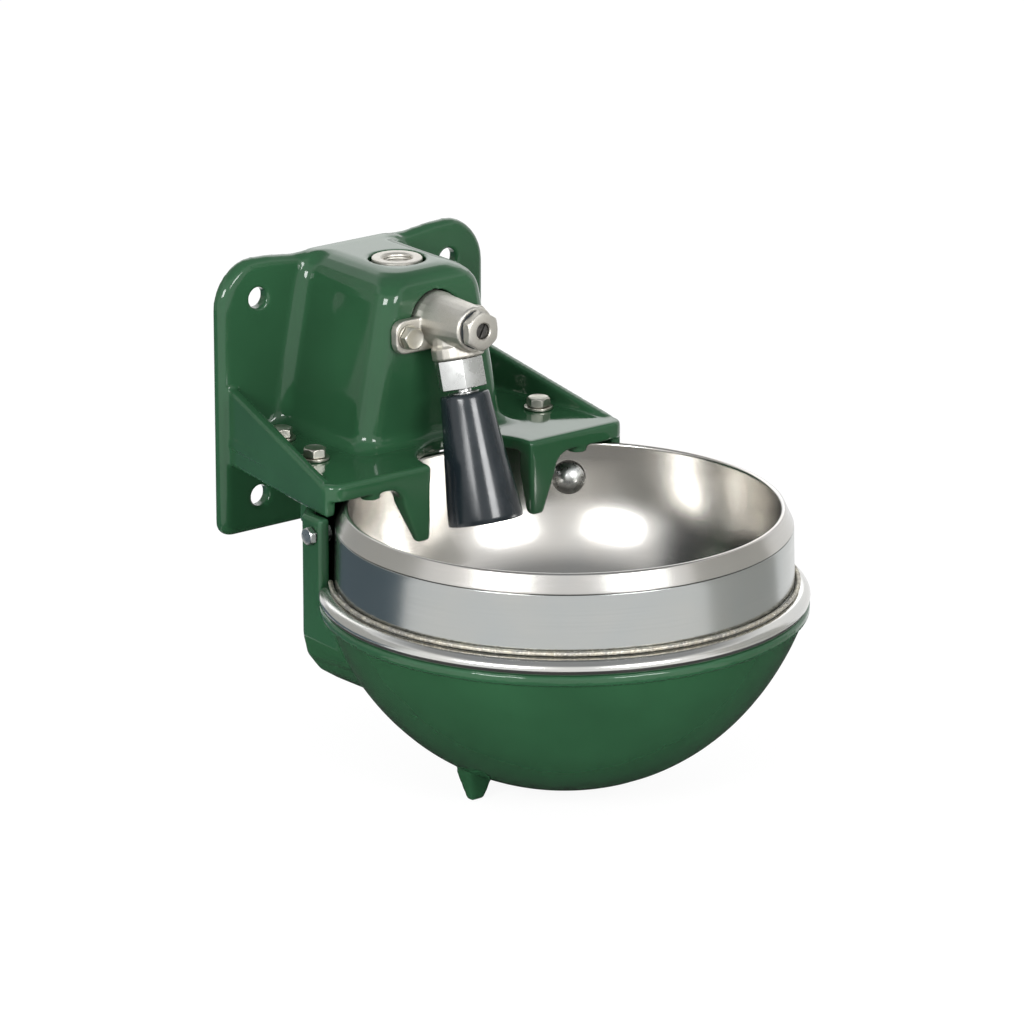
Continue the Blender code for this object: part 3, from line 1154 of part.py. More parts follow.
def valve_cap():
    """Hexagonal end cap with the bore for the flow screw, and its gasket."""
    hex_start = VALVE_LENGTH + GASKET_THICKNESS + 2 * SEAT_GAP
    hex_end = hex_start + CAP_THICKNESS
    cap = hexagon(CAP_ACROSS_FLATS, hex_start, hex_end, chamfer_top=0.6 * MM, chamfer_bottom=0.4 * MM)
    thread = cylinder(CAP_THREAD_RADIUS, VALVE_LENGTH - CAP_THREAD_LENGTH, hex_start + MM, 20)
    cap = union(cap, thread)
    outer_bore = SCREW_RADIUS + SCREW_CLEARANCE
    inner_bore = outer_bore + SCREW_SEAL_WIRE
    step = hex_end - SCREW_RECESS - SCREW_THREAD_LENGTH + SCREW_TRAVEL
    bore = lathe([(0, VALVE_LENGTH - CAP_THREAD_LENGTH - MM),
                  (inner_bore, VALVE_LENGTH - CAP_THREAD_LENGTH - MM), (inner_bore, step),
                  (outer_bore, step), (outer_bore, hex_end - 0.5 * MM),
                  (outer_bore + MM, hex_end + 0.5 * MM), (0, hex_end + 0.5 * MM)], 16)
    add_part("valve_cap", cut(cap, bore), BRIGHT_STEEL, VALVE_FRAME)
    bottom = VALVE_LENGTH + SEAT_GAP
    inner = CAP_THREAD_RADIUS + THREAD_CLEARANCE
    gasket = lathe([(inner, bottom), (GASKET_RADIUS, bottom), (GASKET_RADIUS, bottom + GASKET_THICKNESS),
                    (inner, bottom + GASKET_THICKNESS)])
    add_part("cap_gasket", gasket, RUBBER, VALVE_FRAME)
    return hex_end


def flow_screw(cap_face):
    """Slotted flow screw in the cap, and the O-ring on its neck."""
    head = cap_face - SCREW_RECESS
    neck_top = head - SCREW_THREAD_LENGTH
    neck_bottom = neck_top - SCREW_NECK_LENGTH
    tip = neck_bottom - SCREW_TIP_LENGTH
    frame = axis_frame(VALVE_FRAME @ Vector((0, 0, head)), VALVE_AXIS)
    pivot = pivot_empty("flow_screw_axis", frame)
    profile = [(0, tip), (1.6 * MM, tip), (SCREW_RADIUS - 0.4 * MM, neck_bottom - 1.5 * MM),
               (SCREW_RADIUS - 0.2 * MM, neck_bottom), (SCREW_NECK_RADIUS, neck_bottom),
               (SCREW_NECK_RADIUS, neck_top), (SCREW_RADIUS, neck_top), (SCREW_RADIUS, head - 0.4 * MM),
               (SCREW_RADIUS - 0.4 * MM, head), (0, head)]
    screw = lathe([(radius, height - head) for radius, height in profile], 16)
    slot = bmesh.new()
    bmesh.ops.create_cube(slot, size=1)
    bmesh.ops.scale(slot, verts=slot.verts, vec=(SLOT_WIDTH, 3 * SCREW_RADIUS, 2 * SLOT_DEPTH))
    bmesh.ops.rotate(slot, verts=slot.verts, matrix=Matrix.Rotation(SLOT_ANGLE, 3, "Z"))
    add_part("flow_screw", cut(screw, slot), DARK_STEEL, frame, parent=pivot)
    middle = (neck_top + neck_bottom) / 2
    ring = SCREW_NECK_RADIUS + SEAT_GAP + SCREW_SEAL_WIRE
    profile = [(ring + SCREW_SEAL_WIRE * math.cos(a * math.pi / 3),
                middle - head + SCREW_SEAL_WIRE * math.sin(a * math.pi / 3)) for a in range(6)]
    add_part("screw_seal", lathe(profile, 16), RUBBER, frame, parent=pivot)


# Outlet, pivot and nozzle, all about the outlet's axis with Z = 0 at the nut's top


def sphere_point(radius, angle):
    """(radius, height) of a point on a sphere about the pivot, angle from the outlet's axis."""
    return radius * math.sin(angle), PIVOT_DEPTH + radius * math.cos(angle)


def outlet_nut():
    """Hex nut that holds seat ring, ball and liner to the valve body."""
    nut = hexagon(NUT_ACROSS_FLATS, 0, OUTLET_NUT_HEIGHT, chamfer_top=0.8 * MM, chamfer_bottom=0.5 * MM)
    bore = SPIGOT_RADIUS + THREAD_CLEARANCE
    seat = BALL_RADIUS + 2 * SEAT_GAP + LINER_THICKNESS
    seat_top = math.radians(86)
    cavity = [(0, -MM), (bore, -MM), (bore, sphere_point(seat, seat_top)[1])]
    steps = 5
    cavity += [sphere_point(seat, seat_top + (NUT_SEAT_FROM - seat_top) * i / steps)
               for i in range(steps + 1)]
    flare = NUT_MOUTH_FLARE
    cavity += [(NUT_MOUTH_RADIUS, OUTLET_NUT_HEIGHT - flare),
               (NUT_MOUTH_RADIUS + 2 * flare, OUTLET_NUT_HEIGHT + flare), (0, OUTLET_NUT_HEIGHT + flare)]
    add_part("outlet_nut", cut(nut, lathe(cavity, 24)), BRIGHT_STEEL, NUT_FRAME)


def seat_ring():
    """Plastic seat above the ball."""
    top = SPIGOT_LENGTH + SEAT_GAP
    sphere = BALL_RADIUS + SEAT_GAP
    bottom = PIVOT_DEPTH - 1.9 * MM
    touch = math.pi - math.asin(SEAT_RING_BORE / sphere)
    last = math.acos((bottom - PIVOT_DEPTH) / sphere)
    profile = [(SPIGOT_RADIUS, bottom), (SPIGOT_RADIUS, top), (SEAT_RING_BORE, top)]
    profile += [sphere_point(sphere, touch + (last - touch) * i / 4) for i in range(5)]
    add_part("seat_ring", lathe(profile, 24), WHITE_PLASTIC, NUT_FRAME)


def spring_cup_and_spring():
    """Flat cup on the seat ring, and the closing spring above it."""
    bottom = SPIGOT_LENGTH + SEAT_GAP - SEAT_GAP
    cup = lathe([(SEAT_RING_BORE, bottom - SPRING_CUP_THICKNESS), (SEAT_RING_BORE, bottom),
                 (SPIGOT_BORE_RADIUS - SEAT_GAP, bottom),
                 (SPIGOT_BORE_RADIUS - SEAT_GAP, bottom - SPRING_CUP_THICKNESS)])
    add_part("spring_cup", cup, BRIGHT_STEEL, NUT_FRAME)
    spring_bottom = bottom - SPRING_CUP_THICKNESS - SEAT_GAP - SPRING_WIRE
    rise = SPRING_LENGTH - 2 * SPRING_WIRE
    curve = bpy.data.curves.new("closing_spring", "CURVE")
    curve.dimensions = "3D"
    curve.bevel_depth = SPRING_WIRE
    curve.bevel_resolution = 1
    curve.use_fill_caps = True
    spline = curve.splines.new("POLY")
    count = SPRING_TURNS * 12
    spline.points.add(count)
    for index in range(count + 1):
        angle = index * math.pi / 6
        height = spring_bottom - rise * index / count
        spline.points[index].co = (SPRING_RADIUS * math.cos(angle), SPRING_RADIUS * math.sin(angle), height, 1)
    spring = bpy.data.objects.new("closing_spring", curve)
    bpy.context.collection.objects.link(spring)
    spring.matrix_world = NUT_FRAME
    curve.materials.append(make_material("closing_spring", BRIGHT_STEEL))


def liner_ring(pivot):
    """Sliding ring between ball and nut, round on both sides about the pivot."""
    inner = BALL_RADIUS + SEAT_GAP
    outer = inner + LINER_THICKNESS
    steps = 3
    angles = [LINER_FROM + (LINER_TO - LINER_FROM) * i / steps for i in range(steps + 1)]
    profile = [sphere_point(inner, a) for a in angles] + [sphere_point(outer, a) for a in reversed(angles)]
    profile = [(radius, height - PIVOT_DEPTH) for radius, height in profile]
    add_part("liner_ring", lathe(profile, 24), WHITE_PLASTIC, PIVOT_FRAME, parent=pivot)


def nozzle_stem(pivot):
    """Ball head, hollow stem, collar and retaining flange, in one piece."""
    joint = math.asin(STEM_RADIUS / BALL_RADIUS)
    steps = 6
    ball = [(BALL_RADIUS * math.sin(a), BALL_RADIUS * math.cos(a))
            for a in [math.pi + (joint - math.pi) * i / steps for i in range(steps + 1)]]
    ball[0] = (0, -BALL_RADIUS)
    base = PIVOT_DEPTH
    collar_top = STEM_COLLAR_TOP - base
    collar_bottom = NOZZLE_TOP - SEAT_GAP - base
    flange_top = STEM_LENGTH - 5 * MM - base
    end = STEM_LENGTH - base
    outer = ball + [(STEM_RADIUS, collar_top), (STEM_COLLAR_RADIUS - SEAT_GAP, collar_top),
                    (STEM_COLLAR_RADIUS, collar_top + SEAT_GAP), (STEM_COLLAR_RADIUS, collar_bottom),
                    (STEM_RADIUS, collar_bottom), (STEM_RADIUS, flange_top),
                    (STEM_FLANGE_RADIUS, flange_top), (STEM_FLANGE_RADIUS, flange_top + STEM_FLANGE_THICKNESS),
                    (STEM_RADIUS, flange_top + STEM_FLANGE_THICKNESS), (STEM_RADIUS, end)]
    profile = outer + [(STEM_BORE_RADIUS, end), (STEM_BORE_RADIUS, -STEM_PORT_RISE), (0, -STEM_PORT_RISE)]
    stem = lathe(profile, 20)
    port = moved(cylinder(STEM_PORT_RADIUS, -BALL_RADIUS, BALL_RADIUS, 8),
                 axis_frame((0, 0, -STEM_PORT_RISE), (1, 0, 0)))
    add_part("nozzle_stem", cut(stem, port), BRIGHT_STEEL, PIVOT_FRAME, parent=pivot)


def nozzle(pivot):
    """Rubber nozzle: grips the stem at the top and flares into an open mouth."""
    top = NOZZLE_TOP - PIVOT_DEPTH
    end = top + NOZZLE_LENGTH
    grip = STEM_RADIUS + SEAT_GAP
    groove = STEM_FLANGE_RADIUS + SEAT_GAP
    flange_top = STEM_LENGTH - 5 * MM - PIVOT_DEPTH
    flange_end = flange_top + STEM_FLANGE_THICKNESS + SEAT_GAP
    span = NOZZLE_END_RADIUS - NOZZLE_TOP_RADIUS

    def outside(share):
        return NOZZLE_TOP_RADIUS + span * (0.72 * share + 0.28 * math.sin(share * math.pi / 2) ** 2)

    outer = [(NOZZLE_TOP_RADIUS - 1.5 * MM, top), (NOZZLE_TOP_RADIUS - 0.2 * MM, top + 0.8 * MM)]
    outer += [(outside(share), top + NOZZLE_LENGTH * share) for share in (0.05, 0.25, 0.45, 0.65, 0.85)]
    outer += [(NOZZLE_END_RADIUS, end - 0.6 * MM), (NOZZLE_END_RADIUS - 0.8 * MM, end)]
    room = STEM_LENGTH - PIVOT_DEPTH + MM
    inner = [(NOZZLE_END_RADIUS - NOZZLE_WALL + 0.5 * MM, end), (NOZZLE_END_RADIUS - NOZZLE_WALL, end - MM),
             (outside(0.65) - NOZZLE_WALL, top + NOZZLE_LENGTH * 0.65),
             (grip + 5 * MM, room + 4 * MM), (grip, room),
             (grip, flange_end), (groove, flange_end), (groove, flange_top - SEAT_GAP),
             (grip, flange_top - SEAT_GAP), (grip, top)]
    add_part("nozzle", lathe(outer + inner, 24), RUBBER, PIVOT_FRAME, parent=pivot)


def main():
    clear_scene()
    bracket()
    lower_housing()
    drinking_bowl()
    bowl_skirt()
    rim_ring()
    weld_bead()
    heating_plate()
    insulation()
    shelf_fasteners()
    earth_fastener()
    bowl_fastener()
    inlet_manifold()
    valve_seal()
    valve_body()
    valve_fasteners()
    flow_screw(valve_cap())
    outlet_nut()
    seat_ring()
    spring_cup_and_spring()
    pivot = pivot_empty("nozzle_pivot", PIVOT_FRAME)
    liner_ring(pivot)
    nozzle_stem(pivot)
    nozzle(pivot)


main()
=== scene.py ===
"""Livestock drinking bowl: enamelled castings, spun steel bowl, valve and rubber nozzle, in a plain studio."""
import json
import math

import bmesh
import bpy
from bpy.props import FloatProperty, FloatVectorProperty, IntProperty, PointerProperty
from mathutils import Matrix, Vector


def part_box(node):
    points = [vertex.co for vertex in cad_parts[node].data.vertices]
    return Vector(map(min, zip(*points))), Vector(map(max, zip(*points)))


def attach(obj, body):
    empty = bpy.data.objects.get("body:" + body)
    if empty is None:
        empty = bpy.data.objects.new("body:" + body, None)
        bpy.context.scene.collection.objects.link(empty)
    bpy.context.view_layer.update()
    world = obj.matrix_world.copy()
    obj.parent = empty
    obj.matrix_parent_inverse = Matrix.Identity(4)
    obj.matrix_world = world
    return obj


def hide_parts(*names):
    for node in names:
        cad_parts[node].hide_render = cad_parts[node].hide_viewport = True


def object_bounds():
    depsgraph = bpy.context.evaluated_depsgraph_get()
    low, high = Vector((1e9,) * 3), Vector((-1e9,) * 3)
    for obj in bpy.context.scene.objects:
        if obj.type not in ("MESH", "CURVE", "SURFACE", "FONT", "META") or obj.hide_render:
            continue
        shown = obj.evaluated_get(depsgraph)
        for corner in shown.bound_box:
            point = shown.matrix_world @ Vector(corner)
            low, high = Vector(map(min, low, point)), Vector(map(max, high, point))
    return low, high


bl_info = {
    "name": "Livestock drinking bowl",
    "version": (1, 0, 0),
    "blender": (4, 5, 0),
    "location": "3D View > Sidebar > Drinking bowl",
    "description": "Finishes and finer forms of a wall-mounted drinking bowl with a nozzle valve",
    "category": "Object",
}

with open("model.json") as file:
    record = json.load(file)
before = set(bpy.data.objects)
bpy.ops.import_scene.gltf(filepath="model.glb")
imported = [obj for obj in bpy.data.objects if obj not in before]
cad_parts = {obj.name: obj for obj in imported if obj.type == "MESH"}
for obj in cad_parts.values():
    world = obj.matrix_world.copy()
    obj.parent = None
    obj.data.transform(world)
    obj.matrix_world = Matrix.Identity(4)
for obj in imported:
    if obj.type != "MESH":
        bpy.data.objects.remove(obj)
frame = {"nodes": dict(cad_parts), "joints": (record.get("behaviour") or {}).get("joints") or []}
CAD_LOW, CAD_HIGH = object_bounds()

MM = 0.001
SEAT_GAP = 0.3 * MM

BOWL_LOW, BOWL_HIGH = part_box("drinking_bowl")
RIM_Z = BOWL_HIGH.z
BOWL_AXIS = Vector((0, (BOWL_LOW.y + BOWL_HIGH.y) / 2, RIM_Z))
FOLD_RADIUS = (BOWL_HIGH.x - BOWL_LOW.x) / 2
SKIRT_FLARE = 1 * MM
SKIRT_RADIUS = FOLD_RADIUS + SKIRT_FLARE
BOWL_ROUNDNESS = 2.4
BOWL_CURVE_START = 0.1
BOWL_BOLT_ANGLE = math.radians(50.4)
BOWL_BOLT_UNDER_RIM = 23 * MM

SHELL_DEPTH = 172 * MM
SHELL_CENTRE = 27.5 * MM
SHELL_SWELL = 12 * MM
SHELL_ROUNDNESS = 2.17
SHELL_LIP = 6 * MM
SHELL_RADIUS = 148.1 * MM

BOLT_RADIUS = 4 * MM
M8 = {"flats": 13 * MM, "head": 5.4 * MM, "face": 5.9 * MM, "dish": 0.5 * MM, "radius": BOLT_RADIUS,
      "point": 0.6 * MM}
M6 = {"flats": 10 * MM, "head": 4 * MM, "face": 4.6 * MM, "dish": 0.3 * MM, "radius": 3 * MM,
      "point": 0.4 * MM}

VALVE_ORIGIN = Vector((0, -92 * MM, 56.2 * MM))
VALVE_DIRECTION = Vector((0, -0.99863, 0.052336))
EAR_REACH, EAR_DROP, EAR_FACE = 26 * MM, 6 * MM, 6 * MM
VALVE_WASHER = 1 * MM
INLET_FROM_WALL = 52.7 * MM
OUTLET_DIRECTION = Vector((0, -0.267238, -0.96363))
TILT_JOINT = next(joint for joint in frame["joints"] if joint["child"] == "nozzle")
NOZZLE_PIVOT = Vector(TILT_JOINT["pos_m"])


# Settings


def length(name, description, default):
    return FloatProperty(name=name, description=description, default=default, unit="LENGTH")


def lamp(name, description, default):
    return FloatProperty(name=name, description=description, default=default, min=0, unit="POWER")


def colour(name, description, default):
    return FloatVectorProperty(name=name, description=description, default=default, subtype="COLOR",
                               min=0, max=1)


class BowlSizes(bpy.types.PropertyGroup):
    rim_radius: length("Rim radius", "Radius of the bowl's rim", 131.5 * MM)
    bowl_depth: length("Bowl depth", "From the rim to the bottom of the bowl", 118 * MM)
    sheet: length("Sheet", "Thickness of the bowl's sheet", 1.6 * MM)
    fold_height: length("Fold height", "Height of the folded rim", 11.4 * MM)
    skirt_height: length("Skirt height", "Height of the skirt below the fold", 44 * MM)
    ring_width: length("Ring width", "Width of the rim ring", 9.1 * MM)
    ring_height: length("Ring height", "Height of the rim ring", 9.2 * MM)
    lip_under_rim: length("Lip under rim", "From the rim down to the shell's edge", 58 * MM)
    weld_radius: length("Weld radius", "Half the width of the weld bead", 1.7 * MM)
    round_steps: IntProperty(name="Round steps", description="Facets in a full turn", default=144, min=24)


class CastingSizes(bpy.types.PropertyGroup):
    grain: length("Bracket grain", "Cell size for the enamelled castings", 1.05 * MM)
    shell_grain: length("Housing grain", "Cell size for the lower housing", 1.5 * MM)
    fine_grain: length("Valve grain", "Cell size for the steel castings", 0.5 * MM)
    most_faces: IntProperty(name="Most faces", description="Triangles that a casting may have", default=185000,
                            min=1000)


class NozzleSizes(bpy.types.PropertyGroup):
    top_radius: length("Top radius", "Radius of the nozzle at its top", 15.2 * MM)
    end_radius: length("End radius", "Radius of the nozzle at its mouth", 23.3 * MM)
    reach: length("Length", "Length of the nozzle along its axis", 79.5 * MM)
    wall: length("Wall", "Thickness of the rubber at the mouth", 4.5 * MM)
    top_from_pivot: length("Top from pivot", "From the ball's centre to the nozzle's top", 10.2 * MM)


class Finishes(bpy.types.PropertyGroup):
    enamel: colour("Enamel", "Green of the enamelled castings", (0.023, 0.083, 0.037))
    bowl_steel: colour("Bowl steel", "Satin stainless sheet", (0.56, 0.557, 0.54))
    skirt_steel: colour("Skirt steel", "Satin stainless sheet of the skirt", (0.455, 0.478, 0.475))
    cast_steel: colour("Cast steel", "Blasted stainless casting", (0.60, 0.585, 0.54))
    bright_steel: colour("Bright steel", "Polished stainless", (0.66, 0.67, 0.66))
    zinc: colour("Zinc", "Zinc-plated fasteners", (0.56, 0.55, 0.50))
    weld: colour("Weld", "Weld bead", (0.58, 0.54, 0.44))
    rubber: colour("Rubber", "Black rubber", (0.012, 0.018, 0.023))


class Studio(bpy.types.PropertyGroup):
    key: lamp("Left light", "Power of the left softbox", 18)
    fill: lamp("Right light", "Power of the right softbox", 16)
    top: lamp("Rear light", "Power of the light behind and above", 7)
    room: FloatProperty(name="Room light", description="Brightness of the room", default=0.75, min=0)
    flag: colour("Flags", "Dark cards on the floor that reflections show", (0.09, 0.13, 0.16))
    wall: colour("Walls", "Grey cards beside the object that reflections show", (0.50, 0.50, 0.48))


# Small helpers


def settings(name):
    return getattr(bpy.context.scene, name)


def frame_along(origin, direction):
    """A frame at origin whose Z runs along direction and whose X is the object's X."""
    z_axis = Vector(direction).normalized()
    x_axis = Vector((1, 0, 0))
    if abs(z_axis.dot(x_axis)) > 0.9:
        x_axis = Vector((0, 1, 0))
    y_axis = z_axis.cross(x_axis).normalized()
    x_axis = y_axis.cross(z_axis)
    turned = Matrix((x_axis, y_axis, z_axis)).transposed().to_4x4()
    return Matrix.Translation(origin) @ turned


VALVE_FRAME = frame_along(VALVE_ORIGIN, VALVE_DIRECTION)
NOZZLE_FRAME = frame_along(NOZZLE_PIVOT, OUTLET_DIRECTION)
BOWL_FRAME = Matrix.Translation(BOWL_AXIS)
BOWL_BOLT_PLACE = frame_along(BOWL_AXIS - Vector((0, 0, BOWL_BOLT_UNDER_RIM)),
                              (math.cos(BOWL_BOLT_ANGLE), math.sin(BOWL_BOLT_ANGLE), 0))


def link_object(name, data):
    item = bpy.data.objects.new(name, data)
    bpy.context.scene.collection.objects.link(item)
    return item


def mesh_from(bm, name):
    mesh = bpy.data.meshes.new(name)
    bm.to_mesh(mesh)
    bm.free()
    return mesh


def discard(item):
    """Removes a helper object and its mesh."""
    mesh = item.data
    bpy.data.objects.remove(item, do_unlink=True)
    bpy.data.meshes.remove(mesh)


def apply_modifiers(item):
    """Gives an object the mesh that its modifiers make, and removes them."""
    depsgraph = bpy.context.evaluated_depsgraph_get()
    mesh = bpy.data.meshes.new_from_object(item.evaluated_get(depsgraph), depsgraph=depsgraph)
    item.modifiers.clear()
    old = item.data
    item.data = mesh
    bpy.data.meshes.remove(old)
    return item


def outward(bm):
    bmesh.ops.remove_doubles(bm, verts=bm.verts, dist=MM / 1000)
    bmesh.ops.recalc_face_normals(bm, faces=bm.faces)
    return bm


def finish_piece(item, finish, nodes, sharp=None, body="root"):
    """Gives a piece its finish and its place in the frame; nodes are what it stands for."""
    mesh = item.data
    mesh.materials.clear()
    mesh.materials.append(FINISH[finish])
    for polygon in mesh.polygons:
        polygon.material_index = 0
    mesh.shade_smooth()
    if sharp is not None:
        mesh.set_sharp_from_angle(angle=math.radians(sharp))
    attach(item, body)
    if nodes:
        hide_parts(*nodes)


def merged_copy(node, name):
    """A CAD node's mesh as a closed skin, in an object of its own."""
    bm = bmesh.new()
    bm.from_mesh(frame["nodes"][node].data)
    bmesh.ops.remove_doubles(bm, verts=bm.verts, dist=MM / 200)
    return link_object(name, mesh_from(bm, name))


# Node trees of the finishes


class Nodes:
    """A node tree under construction: adds nodes and links them."""

    def __init__(self, tree):
        self.tree = tree

    def add(self, kind, inputs=None, **values):
        node = self.tree.nodes.new(kind)
        for key, value in values.items():
            setattr(node, key, value)
        for key, value in (inputs or {}).items():
            if isinstance(value, bpy.types.NodeSocket):
                self.tree.links.new(value, node.inputs[key])
            else:
                node.inputs[key].default_value = value
        return node

    def math(self, operation, first, second=0.0):
        return self.add("ShaderNodeMath", {0: first, 1: second}, operation=operation).outputs[0]


class Shader(Nodes):
    """A material under construction."""

    def __init__(self, name, base, roughness, metallic=0.0):
        self.material = bpy.data.materials.new(name)
        self.material.use_nodes = True
        super().__init__(self.material.node_tree)
        self.surface = self.tree.nodes["Principled BSDF"]
        self.set("Base Color", (*base, 1))
        self.set("Roughness", roughness)
        self.set("Metallic", metallic)

    def set(self, socket, value):
        self.surface.inputs[socket].default_value = value

    def place(self, scale=(1, 1, 1)):
        """Object coordinates, stretched by scale."""
        coordinates = self.add("ShaderNodeTexCoord").outputs["Object"]
        return self.add("ShaderNodeMapping", {"Vector": coordinates, "Scale": scale}).outputs["Vector"]

    def vector(self, operation, first, inputs=None, output=0):
        made = self.add("ShaderNodeVectorMath", {0: first, **(inputs or {})}, operation=operation)
        return made.outputs[output]

    def around(self, frame_matrix, turn_scale, out_scale, along_scale):
        """Coordinates that run round an axis: angle, distance from the axis and height along it."""
        back = frame_matrix.inverted()
        coordinates = self.add("ShaderNodeTexCoord").outputs["Object"]
        local = self.add("ShaderNodeMapping", {"Vector": coordinates, "Location": back.to_translation(),
                                               "Rotation": back.to_euler("XYZ")})
        x, y, z = self.add("ShaderNodeSeparateXYZ", {"Vector": local.outputs["Vector"]}).outputs
        flat = self.add("ShaderNodeCombineXYZ", {"X": x, "Y": y}).outputs[0]
        turned = self.vector("SCALE", self.vector("NORMALIZE", flat), {"Scale": turn_scale})
        out = self.math("MULTIPLY", self.vector("LENGTH", flat, output="Value"), out_scale)
        total = self.math("ADD", self.math("MULTIPLY", z, along_scale), out)
        rise = self.add("ShaderNodeCombineXYZ", {"Z": total}).outputs[0]
        return self.vector("ADD", turned, {1: rise})

    def noise(self, vector, scale, detail=3.0, rough=0.55, distortion=0.0):
        made = self.add("ShaderNodeTexNoise", {"Vector": vector, "Scale": scale, "Detail": detail,
                                               "Roughness": rough, "Distortion": distortion})
        return made.outputs["Fac"]

    def spread(self, value, low, high, new_low, new_high):
        made = self.add("ShaderNodeMapRange", {"Value": value, "From Min": low, "From Max": high,
                                               "To Min": new_low, "To Max": new_high})
        return made.outputs["Result"]

    def mix(self, factor, first, second):
        made = self.add("ShaderNodeMix", data_type="RGBA", blend_type="MIX")
        for index, value in ((0, factor), (6, first), (7, second)):
            socket = made.inputs[index]
            if isinstance(value, bpy.types.NodeSocket):
                self.tree.links.new(value, socket)
            else:
                socket.default_value = (*value, 1) if index else value
        return made.outputs[2]

    def fade(self, value, low, high, start, end, first, second):
        """Mixes two colours; start and end are the second one's shares at low and high values."""
        return self.mix(self.spread(value, low, high, start, end), first, second)

    def bump(self, height, strength, distance, normal=None):
        inputs = {"Height": height, "Strength": strength, "Distance": distance}
        if normal is not None:
            inputs["Normal"] = normal
        return self.add("ShaderNodeBump", inputs).outputs["Normal"]

    def done(self, shade=None, roughness=None, normal=None):
        """Links what is given to the surface, and gives the material."""
        for socket, value in (("Base Color", shade), ("Roughness", roughness), ("Normal", normal)):
            if value is not None:
                self.tree.links.new(value, self.surface.inputs[socket])
        return self.material


def tinted(rgb, gain):
    return tuple(min(c * gain, 1) for c in rgb)


def green_enamel(base):
    """Thick glossy enamel: slightly wavy, with painted shade in creases and a painted highlight on convex edges.
    """
    shader = Shader("green_enamel", base, 0.1)
    place = shader.place()
    body = shader.fade(shader.noise(place, 14, 2), 0.3, 0.7, 0, 1, tinted(base, 0.88), tinted(base, 1.14))
    painted_light_pointiness = shader.add("ShaderNodeNewGeometry").outputs["Pointiness"]
    # painted highlight: convex edges are tinted paler, as if lit
    body = shader.fade(painted_light_pointiness, 0.52, 0.60, 0, 0.45, body, (base[0] * 2.2, base[1] * 1.8, base[2] * 2.4))
    # painted shade: creases and hollows are tinted darker, as if in shade
    body = shader.fade(painted_light_pointiness, 0.40, 0.48, 0.5, 0, body, tinted(base, 0.55))
    body = shader.fade(shader.noise(place, 900, 2), 0.72, 0.80, 0, 0.2, body, tinted(base, 2.2))
    haze = shader.spread(shader.noise(place, 60, 4), 0.3, 0.75, 0.05, 0.13)
    waves = shader.bump(shader.noise(place, 48, 1.5), 0.35, 0.22 * MM)
    peel = shader.bump(shader.noise(place, 380, 2), 0.1, 0.05 * MM, waves)
    shader.set("IOR", 1.45)
    return shader.done(body, haze, peel)


def spun_steel(name, base, low, high, lines=1.0):
    """Satin stainless with fine lines round the bowl's axis, faint smudges and a slight warm tint."""
    shader = Shader(name, base, 0.28, 1.0)
    fine = shader.noise(shader.around(BOWL_FRAME, 1.2, 900, 900), 1.6, 4, 0.7)
    place = shader.place()
    warm = shader.fade(shader.noise(place, 16, 3, 0.5), 0.3, 0.7, 0, 1, tinted(base, 0.95),
                       (min(base[0] * 1.04, 1), base[1], base[2] * 0.96))
    lined = shader.fade(fine, 0.3, 0.8, 0, 0.2, warm, tinted(base, 0.78))
    rough = shader.math("ADD", shader.spread(shader.noise(place, 25, 3, 0.5), 0.3, 0.75, low, high),
                        shader.spread(fine, 0.2, 0.8, -0.03, 0.04))
    shader.set("Anisotropic", 0.3)
    return shader.done(lined, rough, shader.bump(fine, 0.07 * lines, 0.015 * MM))


def grainy_metal(name, base, roughness, grain, depth, stain):
    """Blasted or cast metal: fine grain, small pits and faint stains."""
    shader = Shader(name, base, roughness, 1.0)
    place = shader.place()
    body = shader.fade(shader.noise(place, 90, 4, 0.6), 0.35, 0.7, 0, 0.6, base, stain)
    fine = shader.noise(place, grain, 4, 0.7)
    body = shader.fade(fine, 0.25, 0.5, 0.35, 0, body, tinted(base, 0.45))
    rough = shader.spread(fine, 0.25, 0.75, roughness + 0.1, roughness - 0.07)
    pits = shader.add("ShaderNodeTexVoronoi", {"Vector": place, "Scale": grain * 0.6})
    dents = shader.bump(shader.spread(pits.outputs["Distance"], 0, 0.5, 0, 1), 0.25, depth)
    return shader.done(body, rough, shader.bump(fine, 0.5, depth, dents))


def polished_steel(name, base, roughness):
    """Bright turned or drawn steel with fine scratches and fingerprints."""
    shader = Shader(name, base, roughness, 1.0)
    smudge = shader.noise(shader.place(), 160, 5, 0.6, 0.5)
    rough = shader.spread(smudge, 0.3, 0.75, roughness - 0.05, roughness + 0.12)
    streaks = shader.noise(shader.place((1500, 1500, 160)), 1, 3, 0.7)
    body = shader.fade(streaks, 0.35, 0.7, 0, 0.3, base, tinted(base, 0.7))
    return shader.done(body, rough, shader.bump(streaks, 0.12, 0.03 * MM))


def weld_metal(base):
    """Heat-tinted weld: straw and grey with a rough, grainy skin."""
    shader = Shader("weld_metal", base, 0.4, 1.0)
    place = shader.place()
    body = shader.fade(shader.noise(place, 140, 4, 0.65), 0.35, 0.65, 0, 1, base, (0.40, 0.385, 0.36))
    spots = shader.noise(place, 620, 3, 0.7)
    body = shader.fade(spots, 0.52, 0.66, 0, 0.9, body, (0.82, 0.80, 0.72))
    body = shader.fade(spots, 0.30, 0.42, 0.75, 0, body, (0.16, 0.14, 0.11))
    rough = shader.spread(spots, 0.3, 0.7, 0.55, 0.3)
    return shader.done(body, rough, shader.bump(shader.noise(place, 760, 3, 0.7), 0.8, 0.35 * MM))


